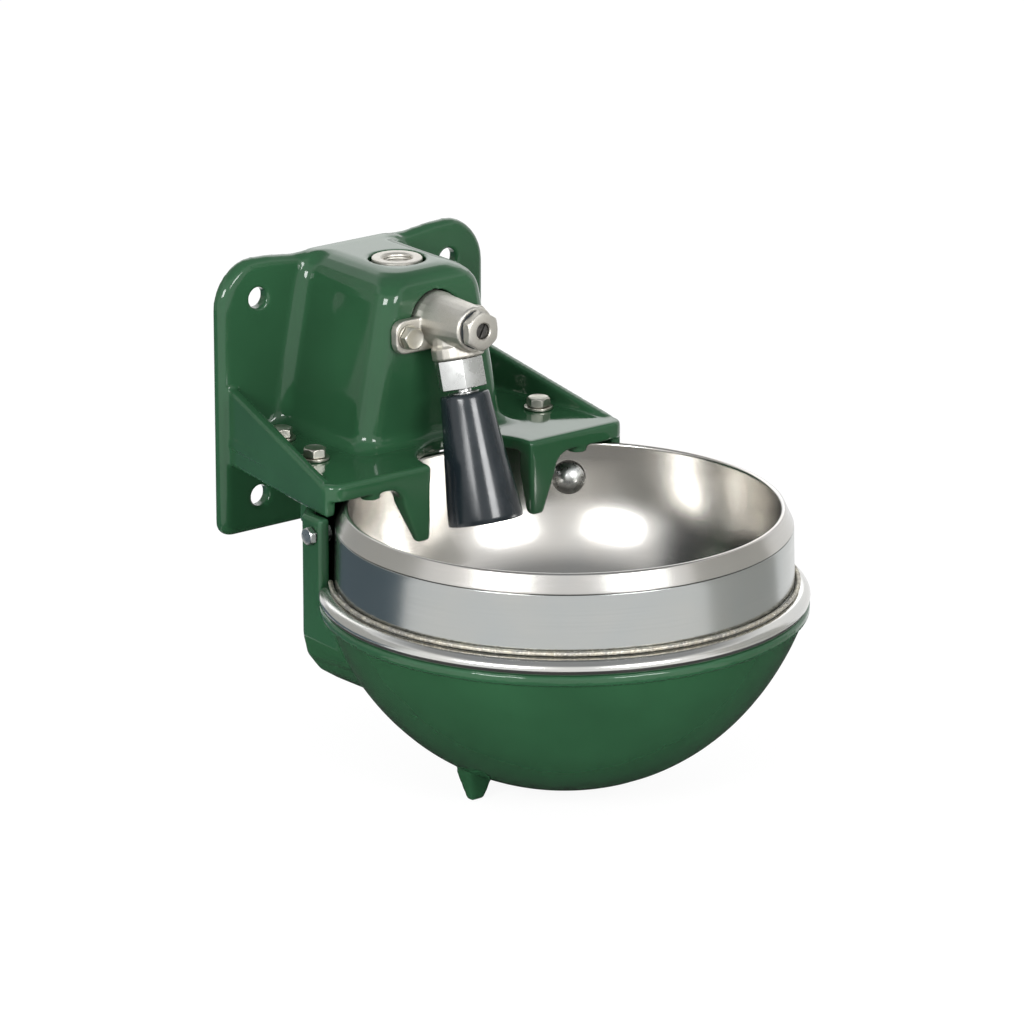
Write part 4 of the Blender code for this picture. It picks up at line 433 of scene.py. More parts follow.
def nozzle_rubber(base):
    """Moulded rubber: smooth glossy skin with faint flow lines and a little bloom."""
    shader = Shader("nozzle_rubber", base, 0.2)
    place = shader.place()
    bloom = shader.noise(place, 60, 4, 0.65)
    body = shader.fade(bloom, 0.45, 0.8, 0, 0.6, base, (0.024, 0.032, 0.040))
    flow = shader.bump(shader.noise(shader.around(NOZZLE_FRAME, 0.6, 0, 260), 1.5, 2), 0.15, 0.06 * MM)
    skin = shader.bump(shader.noise(place, 1500, 2), 0.1, 0.03 * MM, flow)
    return shader.done(body, shader.spread(bloom, 0.3, 0.7, 0.15, 0.25), skin)


def plain_rubber(base):
    """Matt rubber of the seals."""
    shader = Shader("seal_rubber", base, 0.45)
    place = shader.place()
    rough = shader.spread(shader.noise(place, 500, 3), 0.3, 0.7, 0.35, 0.6)
    return shader.done(None, rough, shader.bump(shader.noise(place, 2200, 2), 0.2, 0.04 * MM))


def black_oxide():
    """Blackened screw, worn brighter in places."""
    base = (0.075, 0.073, 0.070)
    shader = Shader("black_oxide", base, 0.45, 0.8)
    wear = shader.noise(shader.place(), 420, 4, 0.7)
    body = shader.fade(wear, 0.5, 0.72, 0, 0.5, base, (0.24, 0.23, 0.21))
    return shader.done(body, None, shader.bump(wear, 0.3, 0.06 * MM))


def white_plastic():
    """Turned white plastic with faint clouds."""
    base = (0.78, 0.77, 0.73)
    shader = Shader("white_plastic", base, 0.4)
    place = shader.place()
    body = shader.mix(shader.noise(place, 120, 3), base, (0.70, 0.69, 0.64))
    return shader.done(body, None, shader.bump(shader.noise(place, 900, 2), 0.15, 0.05 * MM))


def heater_foil():
    """Orange heating foil with its etched track showing through."""
    base = (0.66, 0.30, 0.05)
    shader = Shader("heater_foil", base, 0.3)
    wave = shader.add("ShaderNodeTexWave", {"Vector": shader.around(BOWL_FRAME, 1.0, 160, 0), "Scale": 1.0,
                                            "Distortion": 1.0}, wave_type="BANDS", bands_direction="Z")
    track = wave.outputs["Fac"]
    body = shader.fade(track, 0.4, 0.6, 0, 1, base, (0.30, 0.12, 0.03))
    return shader.done(body, None, shader.bump(track, 0.3, 0.1 * MM))


def foam():
    """Cast insulating foam with open cells."""
    base = (0.68, 0.63, 0.44)
    shader = Shader("foam", base, 0.9)
    cells = shader.add("ShaderNodeTexVoronoi", {"Vector": shader.place(), "Scale": 900.0})
    shade = shader.spread(cells.outputs["Distance"], 0, 0.6, 0, 1)
    return shader.done(shader.mix(shade, tinted(base, 0.7), base), None, shader.bump(shade, 0.6, 0.3 * MM))


FINISH = {}


def make_finishes():
    looks = settings("drinker_finishes")
    FINISH["enamel"] = green_enamel(looks.enamel)
    FINISH["bowl"] = spun_steel("bowl_steel", looks.bowl_steel, 0.17, 0.22)
    FINISH["skirt"] = spun_steel("skirt_steel", looks.skirt_steel, 0.17, 0.22)
    FINISH["ring"] = spun_steel("ring_steel", looks.bright_steel, 0.13, 0.24, 0.5)
    FINISH["cast"] = grainy_metal("cast_steel", looks.cast_steel, 0.46, 1500, 0.10 * MM, (0.54, 0.51, 0.45))
    FINISH["zinc"] = grainy_metal("zinc_plate", looks.zinc, 0.32, 2200, 0.05 * MM, (0.50, 0.47, 0.38))
    FINISH["bright"] = polished_steel("bright_steel", looks.bright_steel, 0.27)
    FINISH["weld"] = weld_metal(looks.weld)
    FINISH["nozzle"] = nozzle_rubber(looks.rubber)
    FINISH["rubber"] = plain_rubber(looks.rubber)
    FINISH["black"] = black_oxide()
    FINISH["white"] = white_plastic()
    FINISH["foil"] = heater_foil()
    FINISH["foam"] = foam()


# Geometry node trees


class Tree(Nodes):
    """A geometry node tree under construction."""

    def __init__(self, name, inputs):
        super().__init__(bpy.data.node_groups.new(name, "GeometryNodeTree"))
        face = self.tree.interface
        face.new_socket("Geometry", in_out="INPUT", socket_type="NodeSocketGeometry")
        for label, kind, default in inputs:
            socket = face.new_socket(label, in_out="INPUT", socket_type="NodeSocket" + kind)
            if default is not None:
                socket.default_value = default
        face.new_socket("Material", in_out="INPUT", socket_type="NodeSocketMaterial")
        face.new_socket("Geometry", in_out="OUTPUT", socket_type="NodeSocketGeometry")
        self.entry = self.add("NodeGroupInput")
        self.exit = self.add("NodeGroupOutput")

    def given(self, label):
        return self.entry.outputs[label]

    def close(self, geometry):
        """Ends the tree: real geometry, smooth, with its material."""
        real = self.add("GeometryNodeRealizeInstances", {"Geometry": geometry})
        smooth = self.add("GeometryNodeSetShadeSmooth", {0: real.outputs[0]})
        painted = self.add("GeometryNodeSetMaterial", {"Geometry": smooth.outputs[0],
                                                       "Material": self.given("Material")})
        self.tree.links.new(painted.outputs[0], self.exit.inputs[0])
        return self.tree


def grown(item, tree, values):
    """Runs a tree on an object and keeps the result as a plain mesh."""
    modifier = item.modifiers.new(tree.name, "NODES")
    modifier.node_group = tree
    sockets = {entry.name: entry.identifier for entry in tree.interface.items_tree
               if entry.in_out == "INPUT"}
    for label, value in values.items():
        modifier[sockets[label]] = value
    return apply_modifiers(item)


def spun_form_tree():
    """Turns a profile, a line of points in the XZ plane, about Z into a skin."""
    tree = Tree("Spun form", [("Steps", "Int", 96), ("Start", "Float", 0.0), ("Sweep", "Float", 2 * math.pi)])
    profile = tree.given("Geometry")
    count = tree.add("GeometryNodeAttributeDomainSize", {"Geometry": profile}).outputs["Point Count"]
    columns = tree.math("ADD", tree.given("Steps"), 1)
    grid = tree.add("GeometryNodeMeshGrid", {"Vertices X": columns, "Vertices Y": count})
    index = tree.add("GeometryNodeInputIndex").outputs[0]
    column = tree.math("FLOOR", tree.math("DIVIDE", tree.math("ADD", index, 0.5), count))
    row = tree.math("SUBTRACT", index, tree.math("MULTIPLY", column, count))
    position = tree.add("GeometryNodeInputPosition").outputs[0]
    point = tree.add("GeometryNodeSampleIndex", {"Geometry": profile, "Value": position, "Index": row},
                     data_type="FLOAT_VECTOR")
    share = tree.math("DIVIDE", column, tree.given("Steps"))
    angle = tree.math("ADD", tree.given("Start"), tree.math("MULTIPLY", share, tree.given("Sweep")))
    turned = tree.add("ShaderNodeVectorRotate", {"Vector": point.outputs["Value"], "Angle": angle},
                      rotation_type="Z_AXIS")
    placed = tree.add("GeometryNodeSetPosition", {"Geometry": grid.outputs["Mesh"],
                                                  "Position": turned.outputs[0]})
    merged = tree.add("GeometryNodeMergeByDistance", {"Geometry": placed.outputs[0], "Distance": MM / 500})
    return tree.close(merged.outputs[0])


def bead_tree():
    """A weld bead: a round core along an arc, with overlapping drops of uneven size on it."""
    tree = Tree("Weld bead", [("Radius", "Float", 0.1), ("Bead", "Float", 0.002), ("Start", "Float", 0.0),
                              ("Sweep", "Float", math.pi), ("Drops", "Int", 300), ("Seed", "Int", 3)])
    path = tree.add("GeometryNodeCurveArc", {"Resolution": tree.given("Drops"), "Radius": tree.given("Radius"),
                                             "Start Angle": tree.given("Start"),
                                             "Sweep Angle": tree.given("Sweep")})
    thin = tree.math("MULTIPLY", tree.given("Bead"), 0.78)
    ring = tree.add("GeometryNodeCurvePrimitiveCircle", {"Resolution": 10, "Radius": thin})
    core = tree.add("GeometryNodeCurveToMesh", {"Curve": path.outputs[0], "Profile Curve": ring.outputs[0],
                                                "Fill Caps": True})
    drop = tree.add("GeometryNodeMeshIcoSphere", {"Radius": tree.given("Bead"), "Subdivisions": 2})
    tangent = tree.add("GeometryNodeInputTangent")
    aim = tree.add("FunctionNodeAlignEulerToVector", {"Vector": tangent.outputs[0]}, axis="X")
    size = tree.add("FunctionNodeRandomValue", {"Min": (0.5, 0.72, 0.72), "Max": (0.85, 0.98, 0.98),
                                                "Seed": tree.given("Seed")}, data_type="FLOAT_VECTOR")
    drops = tree.add("GeometryNodeInstanceOnPoints", {"Points": path.outputs[0], "Instance": drop.outputs[0],
                                                      "Rotation": aim.outputs[0], "Scale": size.outputs[0]})
    both = tree.add("GeometryNodeJoinGeometry")
    for form in (core, drops):
        tree.tree.links.new(form.outputs[0], both.inputs[0])
    return tree.close(both.outputs[0])


def thread_tree():
    """A thread ridge: a three-sided section along a spiral."""
    tree = Tree("Thread", [("Radius", "Float", 0.01), ("Height", "Float", 0.01), ("Turns", "Float", 6.0),
                           ("Ridge", "Float", 0.0008)])
    path = tree.add("GeometryNodeCurveSpiral", {"Resolution": 48, "Rotations": tree.given("Turns"),
                                                "Start Radius": tree.given("Radius"),
                                                "End Radius": tree.given("Radius"),
                                                "Height": tree.given("Height")})
    section = tree.add("GeometryNodeCurvePrimitiveCircle", {"Resolution": 6, "Radius": tree.given("Ridge")})
    ridge = tree.add("GeometryNodeCurveToMesh", {"Curve": path.outputs[0], "Profile Curve": section.outputs[0],
                                                 "Fill Caps": True})
    return tree.close(ridge.outputs[0])


def fastener_tree():
    """Puts a copy of a template on each point, aimed by the point's own turn."""
    tree = Tree("Fasteners", [("Template", "Object", None)])
    template = tree.add("GeometryNodeObjectInfo", {"Object": tree.given("Template"), "As Instance": True})
    turn = tree.add("GeometryNodeInputNamedAttribute", {"Name": "turn"}, data_type="FLOAT_VECTOR")
    copies = tree.add("GeometryNodeInstanceOnPoints", {"Points": tree.given("Geometry"),
                                                       "Instance": template.outputs["Geometry"],
                                                       "Rotation": turn.outputs["Attribute"]})
    return tree.close(copies.outputs[0])


TREE = {}


def make_trees():
    TREE["spun"] = spun_form_tree()
    TREE["bead"] = bead_tree()
    TREE["thread"] = thread_tree()
    TREE["fasteners"] = fastener_tree()


# Forms


def spun(name, profile, place, steps, start=0.0, sweep=2 * math.pi):
    """A closed profile of (radius, height) points turned about Z, then put in its place."""
    bm = bmesh.new()
    verts = [bm.verts.new((radius, 0, height)) for radius, height in profile + profile[:1]]
    for pair in zip(verts, verts[1:]):
        bm.edges.new(pair)
    item = link_object(name, mesh_from(bm, name))
    grown(item, TREE["spun"], {"Steps": steps, "Start": start, "Sweep": sweep, "Material": FINISH["bowl"]})
    bm = bmesh.new()
    bm.from_mesh(item.data)
    bmesh.ops.remove_doubles(bm, verts=bm.verts, dist=MM / 500)
    open_edges = [edge for edge in bm.edges if edge.is_boundary]
    if open_edges:
        bmesh.ops.holes_fill(bm, edges=open_edges, sides=0)
    bmesh.ops.recalc_face_normals(bm, faces=bm.faces)
    bmesh.ops.transform(bm, matrix=place, verts=bm.verts)
    bm.to_mesh(item.data)
    bm.free()
    return item


def rounded(points, radius, steps=3):
    """The corners of a closed profile, each cut by a small arc where its sides are long enough."""
    made = []
    count = len(points)
    for index, point in enumerate(points):
        corner = Vector(point)
        before = Vector(points[index - 1]) - corner
        after = Vector(points[(index + 1) % count]) - corner
        reach = min(radius, before.length * 0.45, after.length * 0.45)
        if corner.x < MM / 10 or before.angle(after) > math.radians(158) or reach < MM / 100:
            made.append(tuple(corner))
            continue
        start = corner + before.normalized() * reach
        end = corner + after.normalized() * reach
        for step in range(steps + 1):
            share = step / steps
            lower = start.lerp(corner, share)
            upper = corner.lerp(end, share)
            made.append(tuple(lower.lerp(upper, share)))
    return made


def hex_reach(angle, across_flats):
    """Distance from the axis to a hexagon's side at an angle."""
    turn = math.pi / 3
    off = (angle + turn / 2) % turn - turn / 2
    return across_flats / 2 / math.cos(off)


def lofted(levels, count, across_flats=None, closed=False):
    """Rings of points at (height, radius) levels, joined by faces; across_flats cuts them to a hexagon."""
    bm = bmesh.new()
    angles = [index * 2 * math.pi / count for index in range(count)]
    rings = []
    for z, limit in levels:
        reaches = [min(hex_reach(a, across_flats), limit) if across_flats else limit for a in angles]
        rings.append([bm.verts.new((reach * math.cos(a), reach * math.sin(a), z))
                      for a, reach in zip(angles, reaches)])
    for lower, upper in zip(rings, rings[1:] + rings[:1] if closed else rings[1:]):
        for i in range(count):
            j = (i + 1) % count
            bm.faces.new((lower[i], lower[j], upper[j], upper[i]))
    if not closed:
        bm.faces.new(reversed(rings[0]))
        bm.faces.new(rings[-1])
    return outward(bm)


def hex_head(size):
    """A forged hex head: chamfered top, dished middle and a washer face below."""
    flats, height, face, dish = size["flats"], size["head"], size["face"], size["dish"]
    flat = flats / 2
    levels = [(0, face), (0.35 * MM, face), (0.35 * MM, flat * 1.2)]
    for drop in (1.0, 0.75, 0.5, 0.25, 0.0):
        levels.append((height - 0.9 * MM * drop, flat * (0.95 + 0.19 * drop)))
    levels += [(height - dish * 0.4, flat * 0.84), (height - dish, flat * 0.7), (height - dish, flat * 0.3)]
    return lofted(levels, 72, flats)


def cylinder_form(radius, bottom, top, chamfer=0.0):
    return lofted([(bottom, radius - chamfer), (bottom + chamfer, radius), (top, radius)], 32)


def hex_bolt(size, shank):
    """A hex bolt whose head stands on the XY plane, with its shank below."""
    whole = bmesh.new()
    for bm in (hex_head(size), cylinder_form(size["radius"], -shank, MM / 2, size["point"])):
        part = mesh_from(bm, "part")
        whole.from_mesh(part)
        bpy.data.meshes.remove(part)
    return link_object("hex_bolt", mesh_from(whole, "hex_bolt"))


def placed_copies(name, template, places):
    """Copies of a template in given frames, made by the fastener tree; the template goes."""
    bm = bmesh.new()
    for place in places:
        bm.verts.new(place.to_translation())
    item = link_object(name, mesh_from(bm, name))
    turn = item.data.attributes.new("turn", "FLOAT_VECTOR", "POINT")
    for index, place in enumerate(places):
        turn.data[index].vector = place.to_euler("XYZ")
    grown(item, TREE["fasteners"], {"Template": template, "Material": FINISH["zinc"]})
    discard(template)
    return item


def cast_form(node, name, grain, smoothing=8):
    """A casting's softened skin: the CAD form remeshed finely, with rounded edges and corners."""
    item = merged_copy(node, name)
    remesh = item.modifiers.new("skin", "REMESH")
    remesh.mode = "VOXEL"
    remesh.voxel_size = grain
    remesh.adaptivity = 0.0
    smooth = item.modifiers.new("soften", "SMOOTH")
    smooth.factor = 0.5
    smooth.iterations = smoothing
    apply_modifiers(item)
    most = settings("drinker_castings").most_faces
    triangles = sum(len(polygon.vertices) - 2 for polygon in item.data.polygons)
    if triangles > most:
        thin = item.modifiers.new("thin", "DECIMATE")
        thin.ratio = most / triangles
        apply_modifiers(item)
    return item


# Pieces


class DRINKER_OT_castings(bpy.types.Operator):
    """Enamelled wall bracket and lower housing"""
    bl_idname = "drinker.castings"
    bl_label = "Enamelled castings"

    def execute(self, context):
        sizes = settings("drinker_castings")
        for node, grain in (("bracket", sizes.grain), ("lower_housing", sizes.shell_grain)):
            item = cast_form(node, node + "_enamelled", grain)
            if node == "lower_housing":
                true_shell(item)
            for vertex in item.data.vertices:
                vertex.co = Vector(min(max(c, low), high) for c, low, high in zip(vertex.co, CAD_LOW, CAD_HIGH))
            finish_piece(item, "enamel", [node])
        return {"FINISHED"}


def shell_radius_at(height):
    """Outer radius of the round shell at a height over the rim, negative below it."""
    share = (SHELL_CENTRE - height) / (SHELL_DEPTH + SHELL_CENTRE)
    return (SHELL_RADIUS + SHELL_SWELL) * max(1 - share ** SHELL_ROUNDNESS, 0) ** (1 / SHELL_ROUNDNESS)


def true_shell(item):
    """Moves the points that lie on the faceted shell out to the shell's true round surface."""
    sizes = settings("drinker_bowl")
    lip_bottom = -sizes.lip_under_rim - SHELL_LIP
    profile = [(0, -SHELL_DEPTH)]
    count = 64
    for step in range(count):
        rise = 1 - math.cos((step + 0.5) / count * math.pi / 2)
        height = -SHELL_DEPTH + (SHELL_DEPTH + lip_bottom) * rise
        profile.append((shell_radius_at(height), height))
    profile += [(SHELL_RADIUS, lip_bottom), (SHELL_RADIUS, -sizes.lip_under_rim), (0, -sizes.lip_under_rim)]
    target = spun("true_shell", profile, BOWL_FRAME, sizes.round_steps)
    near, far = 1.4 * MM, 3 * MM
    for vertex in item.data.vertices:
        if vertex.co.z > RIM_Z - sizes.lip_under_rim - MM:
            continue
        found, point, _, _ = target.closest_point_on_mesh(vertex.co)
        gap = (point - vertex.co).length
        if found and gap < far:
            share = min(max((far - gap) / (far - near), 0), 1)
            vertex.co = vertex.co.lerp(point, share * share * (3 - 2 * share))
    discard(target)


def bowl_curve(offset, steps=44):
    """Points down the bowl's side from just below the fold to its bottom, moved outwards."""
    sizes = settings("drinker_bowl")
    inner = sizes.rim_radius - sizes.sheet
    depth = sizes.bowl_depth
    points = []
    for step in range(steps + 1):
        angle = (BOWL_CURVE_START + (1 - BOWL_CURVE_START) * step / steps) * math.pi / 2
        height = -depth * math.sin(angle) ** 1.3
        share = min(-height / depth, 1)
        radius = inner * (1 - share ** BOWL_ROUNDNESS) ** (1 / BOWL_ROUNDNESS)
        normal = Vector(((radius / inner) ** (BOWL_ROUNDNESS - 1) / inner,
                         -share ** (BOWL_ROUNDNESS - 1) / depth)).normalized()
        points.append((max(radius + offset * normal.x, 0), height + offset * normal.y))
    points[-1] = (0, -depth - offset)
    return points


def bolt_hole(item):
    """Cuts the bowl bolt's hole through a piece."""
    rim = settings("drinker_bowl").rim_radius
    form = cylinder_form(BOLT_RADIUS + MM / 2, rim / 2, rim + 40 * MM)
    cutter = link_object("cutter", mesh_from(form, "cutter"))
    cutter.data.transform(BOWL_BOLT_PLACE)
    modifier = item.modifiers.new("hole", "BOOLEAN")
    modifier.object = cutter
    modifier.solver = "EXACT"
    apply_modifiers(item)
    discard(cutter)


def ring_sweep():
    """Start angle and sweep of what runs round the front from side wall to side wall."""
    low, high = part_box("rim_ring")
    start = math.asin((high.y - BOWL_AXIS.y) / ((high.x - low.x) / 2))
    return math.pi - start, math.pi + 2 * start


class DRINKER_OT_bowl(bpy.types.Operator):
    """Spun steel bowl with its folded rim, the skirt and the rim ring"""
    bl_idname = "drinker.bowl"
    bl_label = "Bowl, skirt and ring"

    def execute(self, context):
        sizes = settings("drinker_bowl")
        rim, sheet, fold = sizes.rim_radius, sizes.sheet, sizes.fold_height
        roll = 1.7 * MM
        profile = list(reversed(bowl_curve(0))) + [(rim - sheet, -2.4 * MM)]
        for step in range(9):
            angle = math.pi - step * math.pi / 9
            profile.append((rim + 0.1 * MM + roll * math.cos(angle), -roll + roll * math.sin(angle)))
        profile += [(FOLD_RADIUS - 0.8 * MM, -fold + 1.6 * MM), (FOLD_RADIUS - 0.1 * MM, -fold + 0.4 * MM),
                    (FOLD_RADIUS - 0.3 * MM, -fold), (FOLD_RADIUS - sheet + 0.2 * MM, -fold),
                    (FOLD_RADIUS - sheet, -fold + 0.3 * MM), (rim + 0.2 * MM, -3 * MM)]
        bowl = spun("bowl_spun", profile + bowl_curve(sheet), BOWL_FRAME, sizes.round_steps)
        bolt_hole(bowl)
        finish_piece(bowl, "bowl", ["drinking_bowl"], 50)

        top = -fold - SEAT_GAP
        bottom = -fold - sizes.skirt_height
        profile = [(FOLD_RADIUS - sheet, top), (FOLD_RADIUS, top)]
        for share in (0.1, 0.3, 0.5, 0.7, 0.9, 1.0):
            profile.append((FOLD_RADIUS + SKIRT_FLARE * share, top + (bottom - top) * share))
        profile += [(SKIRT_RADIUS - sheet, bottom), (FOLD_RADIUS - sheet + SKIRT_FLARE / 2, (top + bottom) / 2)]
        skirt = spun("skirt_spun", rounded(profile, 0.4 * MM), BOWL_FRAME, sizes.round_steps)
        bolt_hole(skirt)
        finish_piece(skirt, "skirt", ["bowl_skirt"], 50)

        inner = SKIRT_RADIUS + SEAT_GAP
        low = -sizes.lip_under_rim + SEAT_GAP
        centre = low + sizes.ring_height * 0.32
        rise = low + sizes.ring_height - centre
        profile = [(inner, low), (inner + sizes.ring_width - 1.2 * MM, low)]
        undercut, count = 0.35, 14
        for step in range(count + 1):
            angle = -undercut + step * (math.pi / 2 + undercut) / count
            reach = min(math.cos(angle), 1) * (1 if angle >= 0 else 0.985)
            profile.append((inner + sizes.ring_width * reach, centre + rise * math.sin(angle)))
        ring = spun("rim_ring_bright", profile, BOWL_FRAME, sizes.round_steps, *ring_sweep())
        finish_piece(ring, "ring", ["rim_ring"], 50)
        return {"FINISHED"}


class DRINKER_OT_weld(bpy.types.Operator):
    """Weld bead between skirt and ring"""
    bl_idname = "drinker.weld"
    bl_label = "Weld bead"

    def execute(self, context):
        sizes = settings("drinker_bowl")
        start, sweep = ring_sweep()
        item = link_object("weld_bead_rippled", bpy.data.meshes.new("weld_bead_rippled"))
        radius = SKIRT_RADIUS + SEAT_GAP + sizes.weld_radius
        grown(item, TREE["bead"], {"Radius": radius, "Bead": sizes.weld_radius, "Start": start, "Sweep": sweep,
                                   "Drops": 330, "Seed": 7, "Material": FINISH["weld"]})
        rise = -sizes.lip_under_rim + 2 * SEAT_GAP + sizes.ring_height + sizes.weld_radius
        item.data.transform(BOWL_FRAME @ Matrix.Translation((0, 0, rise)))
        finish_piece(item, "weld", ["weld_bead"])
        return {"FINISHED"}


def upright(place, turn=0):
    """A frame at a place, turned about Z by degrees."""
    return Matrix.Translation(place) @ Matrix.Rotation(math.radians(turn), 4, "Z")


def end_of(node, top=True):
    """Centre of a fastener's upper or lower end, from its box."""
    low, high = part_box(node)
    return Vector(((low.x + high.x) / 2, (low.y + high.y) / 2, high.z if top else low.z))


def washer_template(outer, thick):
    """A stamped washer with slightly rolled edges."""
    inner = BOLT_RADIUS + MM / 2
    profile = rounded([(inner, 0), (outer, 0), (outer, thick), (inner, thick)], 0.25 * MM, 2)
    return spun("washer_template", profile, Matrix.Identity(4), 48)


class DRINKER_OT_fasteners(bpy.types.Operator):
    """Shelf, valve and earth bolts, their washers and the domed bowl bolt"""
    bl_idname = "drinker.fasteners"
    bl_label = "Fasteners"

    def execute(self, context):
        names = ["front_left", "front_right", "rear_left", "rear_right"]
        bolts = ["shelf_bolt_" + name for name in names]
        low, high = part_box(bolts[0])
        places = [upright(end_of(bolt) - Vector((0, 0, M8["head"])), turn)
                  for bolt, turn in zip(bolts, (17, 44, 71, 3))]
        item = placed_copies("shelf_bolts", hex_bolt(M8, high.z - low.z - M8["head"]), places)
        finish_piece(item, "zinc", bolts, 40)
        washers = ["shelf_washer_" + name for name in names]
        item = placed_copies("shelf_washers", washer_template(9 * MM, 1.6 * MM),
                             [upright(end_of(washer, False)) for washer in washers])
        finish_piece(item, "zinc", washers, 40)

        ears = [VALVE_FRAME @ Matrix.Translation((side * EAR_REACH, -EAR_DROP, 0)) for side in (-1, 1)]
        washer_seat = EAR_FACE + SEAT_GAP
        head_seat = washer_seat + VALVE_WASHER + SEAT_GAP
        places = [ear @ upright((0, 0, head_seat), turn) for ear, turn in zip(ears, (20, 52))]
        item = placed_copies("valve_bolts", hex_bolt(M8, 19.5 * MM), places)
        finish_piece(item, "zinc", ["valve_bolt_left", "valve_bolt_right"], 40)
        item = placed_copies("valve_washers", washer_template(7.6 * MM, VALVE_WASHER),
                             [ear @ upright((0, 0, washer_seat)) for ear in ears])
        finish_piece(item, "zinc", ["valve_washer_left", "valve_washer_right"], 40)

        low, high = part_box("earth_bolt")
        middle = Vector((low.x + M6["head"], (low.y + high.y) / 2, (low.z + high.z) / 2))
        item = placed_copies("earth_bolt_bright", hex_bolt(M6, high.x - low.x - M6["head"]),
                             [frame_along(middle, (-1, 0, 0))])
        finish_piece(item, "bright", ["earth_bolt"], 40)
        domed_bolt()
        return {"FINISHED"}


def domed_bolt():
    """Domed bolt inside the bowl, with its square-cornered edge and long shank."""
    back = BOWL_BOLT_PLACE.inverted()
    heights = [(back @ vertex.co).z for vertex in frame["nodes"]["bowl_bolt"].data.vertices]
    first, end = min(heights), max(heights)
    radius, rise = 10.3 * MM, 6 * MM
    ball = (radius ** 2 + rise ** 2) / 2 / rise
    reach = math.asin(radius / ball)
    seat = first + rise
    profile = [(ball * math.sin(reach * i / 16), first + ball * (1 - math.cos(reach * i / 16)))
               for i in range(17)]
    profile += [(radius, seat), (BOLT_RADIUS, seat), (BOLT_RADIUS, end - MM / 2),
                (BOLT_RADIUS - MM / 2, end), (0, end)]
    item = spun("bowl_bolt_domed", profile, BOWL_BOLT_PLACE, 64)
    finish_piece(item, "bright", ["bowl_bolt"], 40)


def bevelled_copy(node, name, width, finish, body="root"):
    """A CAD node's skin with its sharp edges broken."""
    item = merged_copy(node, name)
    bm = bmesh.new()
    bm.from_mesh(item.data)
    bmesh.ops.dissolve_limit(bm, angle_limit=math.radians(1), verts=bm.verts, edges=bm.edges)
    bm.to_mesh(item.data)
    bm.free()
    bevel = item.modifiers.new("edges", "BEVEL")
    bevel.width = width
    bevel.segments = 3
    bevel.limit_method = "ANGLE"
    bevel.angle_limit = math.radians(30)
    apply_modifiers(item)
    finish_piece(item, finish, [node], 40, body)


class DRINKER_OT_valve(bpy.types.Operator):
    """Inlet manifold with its thread, valve body, cap, flow screw and outlet nut"""
    bl_idname = "drinker.valve"
    bl_label = "Valve"

    def execute(self, context):
        item = cast_form("valve_body", "valve_body_cast", settings("drinker_castings").fine_grain)
        finish_piece(item, "cast", ["valve_body"])
        bevelled_copy("inlet_manifold", "inlet_manifold_turned", 0.4 * MM, "cast")
        turned_cap()
        bevelled_copy("outlet_nut", "outlet_nut_polished", 0.35 * MM, "bright")
        bevelled_copy("flow_screw", "flow_screw_black", 0.12 * MM, "black", "flow_screw")
        inlet_thread()
        return {"FINISHED"}


def turned_cap():
    """Hexagonal cap with a wide turned chamfer round its face, its thread and the screw's bore."""
    across = 22 * MM
    thread, thread_start = 10 * MM, 30.8 * MM
    back, face = 41.5 * MM, 47.5 * MM
    bore, seat, step = 5 * MM, 5.9 * MM, face - 6.9 * MM
    levels = [(thread_start, thread), (back, thread), (back, across * 0.53), (back + 0.5 * MM, across * 0.58)]
    levels += [(face - drop * MM, across * reach) for drop, reach in
               ((1.5, 0.58), (1.0, 0.552), (0.55, 0.525), (0.2, 0.495), (0, 0.468))]
    levels += [(face, bore + 0.7 * MM), (face - 0.7 * MM, bore), (step, bore), (step, seat),
               (thread_start, seat)]
    item = link_object("valve_cap_faced", mesh_from(lofted(levels, 72, across, True), "valve_cap_faced"))
    item.data.transform(VALVE_FRAME)
    finish_piece(item, "cast", ["valve_cap"], 35)


def inlet_thread():
    """Thread inside the inlet socket."""
    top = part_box("inlet_manifold")[1].z
    item = link_object("inlet_thread", bpy.data.meshes.new("inlet_thread"))
    pitch, turns = 1.814 * MM, 7
    grown(item, TREE["thread"], {"Radius": 9.55 * MM, "Height": pitch * turns, "Turns": float(turns),
                                 "Ridge": 0.85 * MM, "Material": FINISH["cast"]})
    item.data.transform(Matrix.Translation((0, -INLET_FROM_WALL, top - 1.4 * MM - pitch * turns)))
    finish_piece(item, "cast", [], 40)


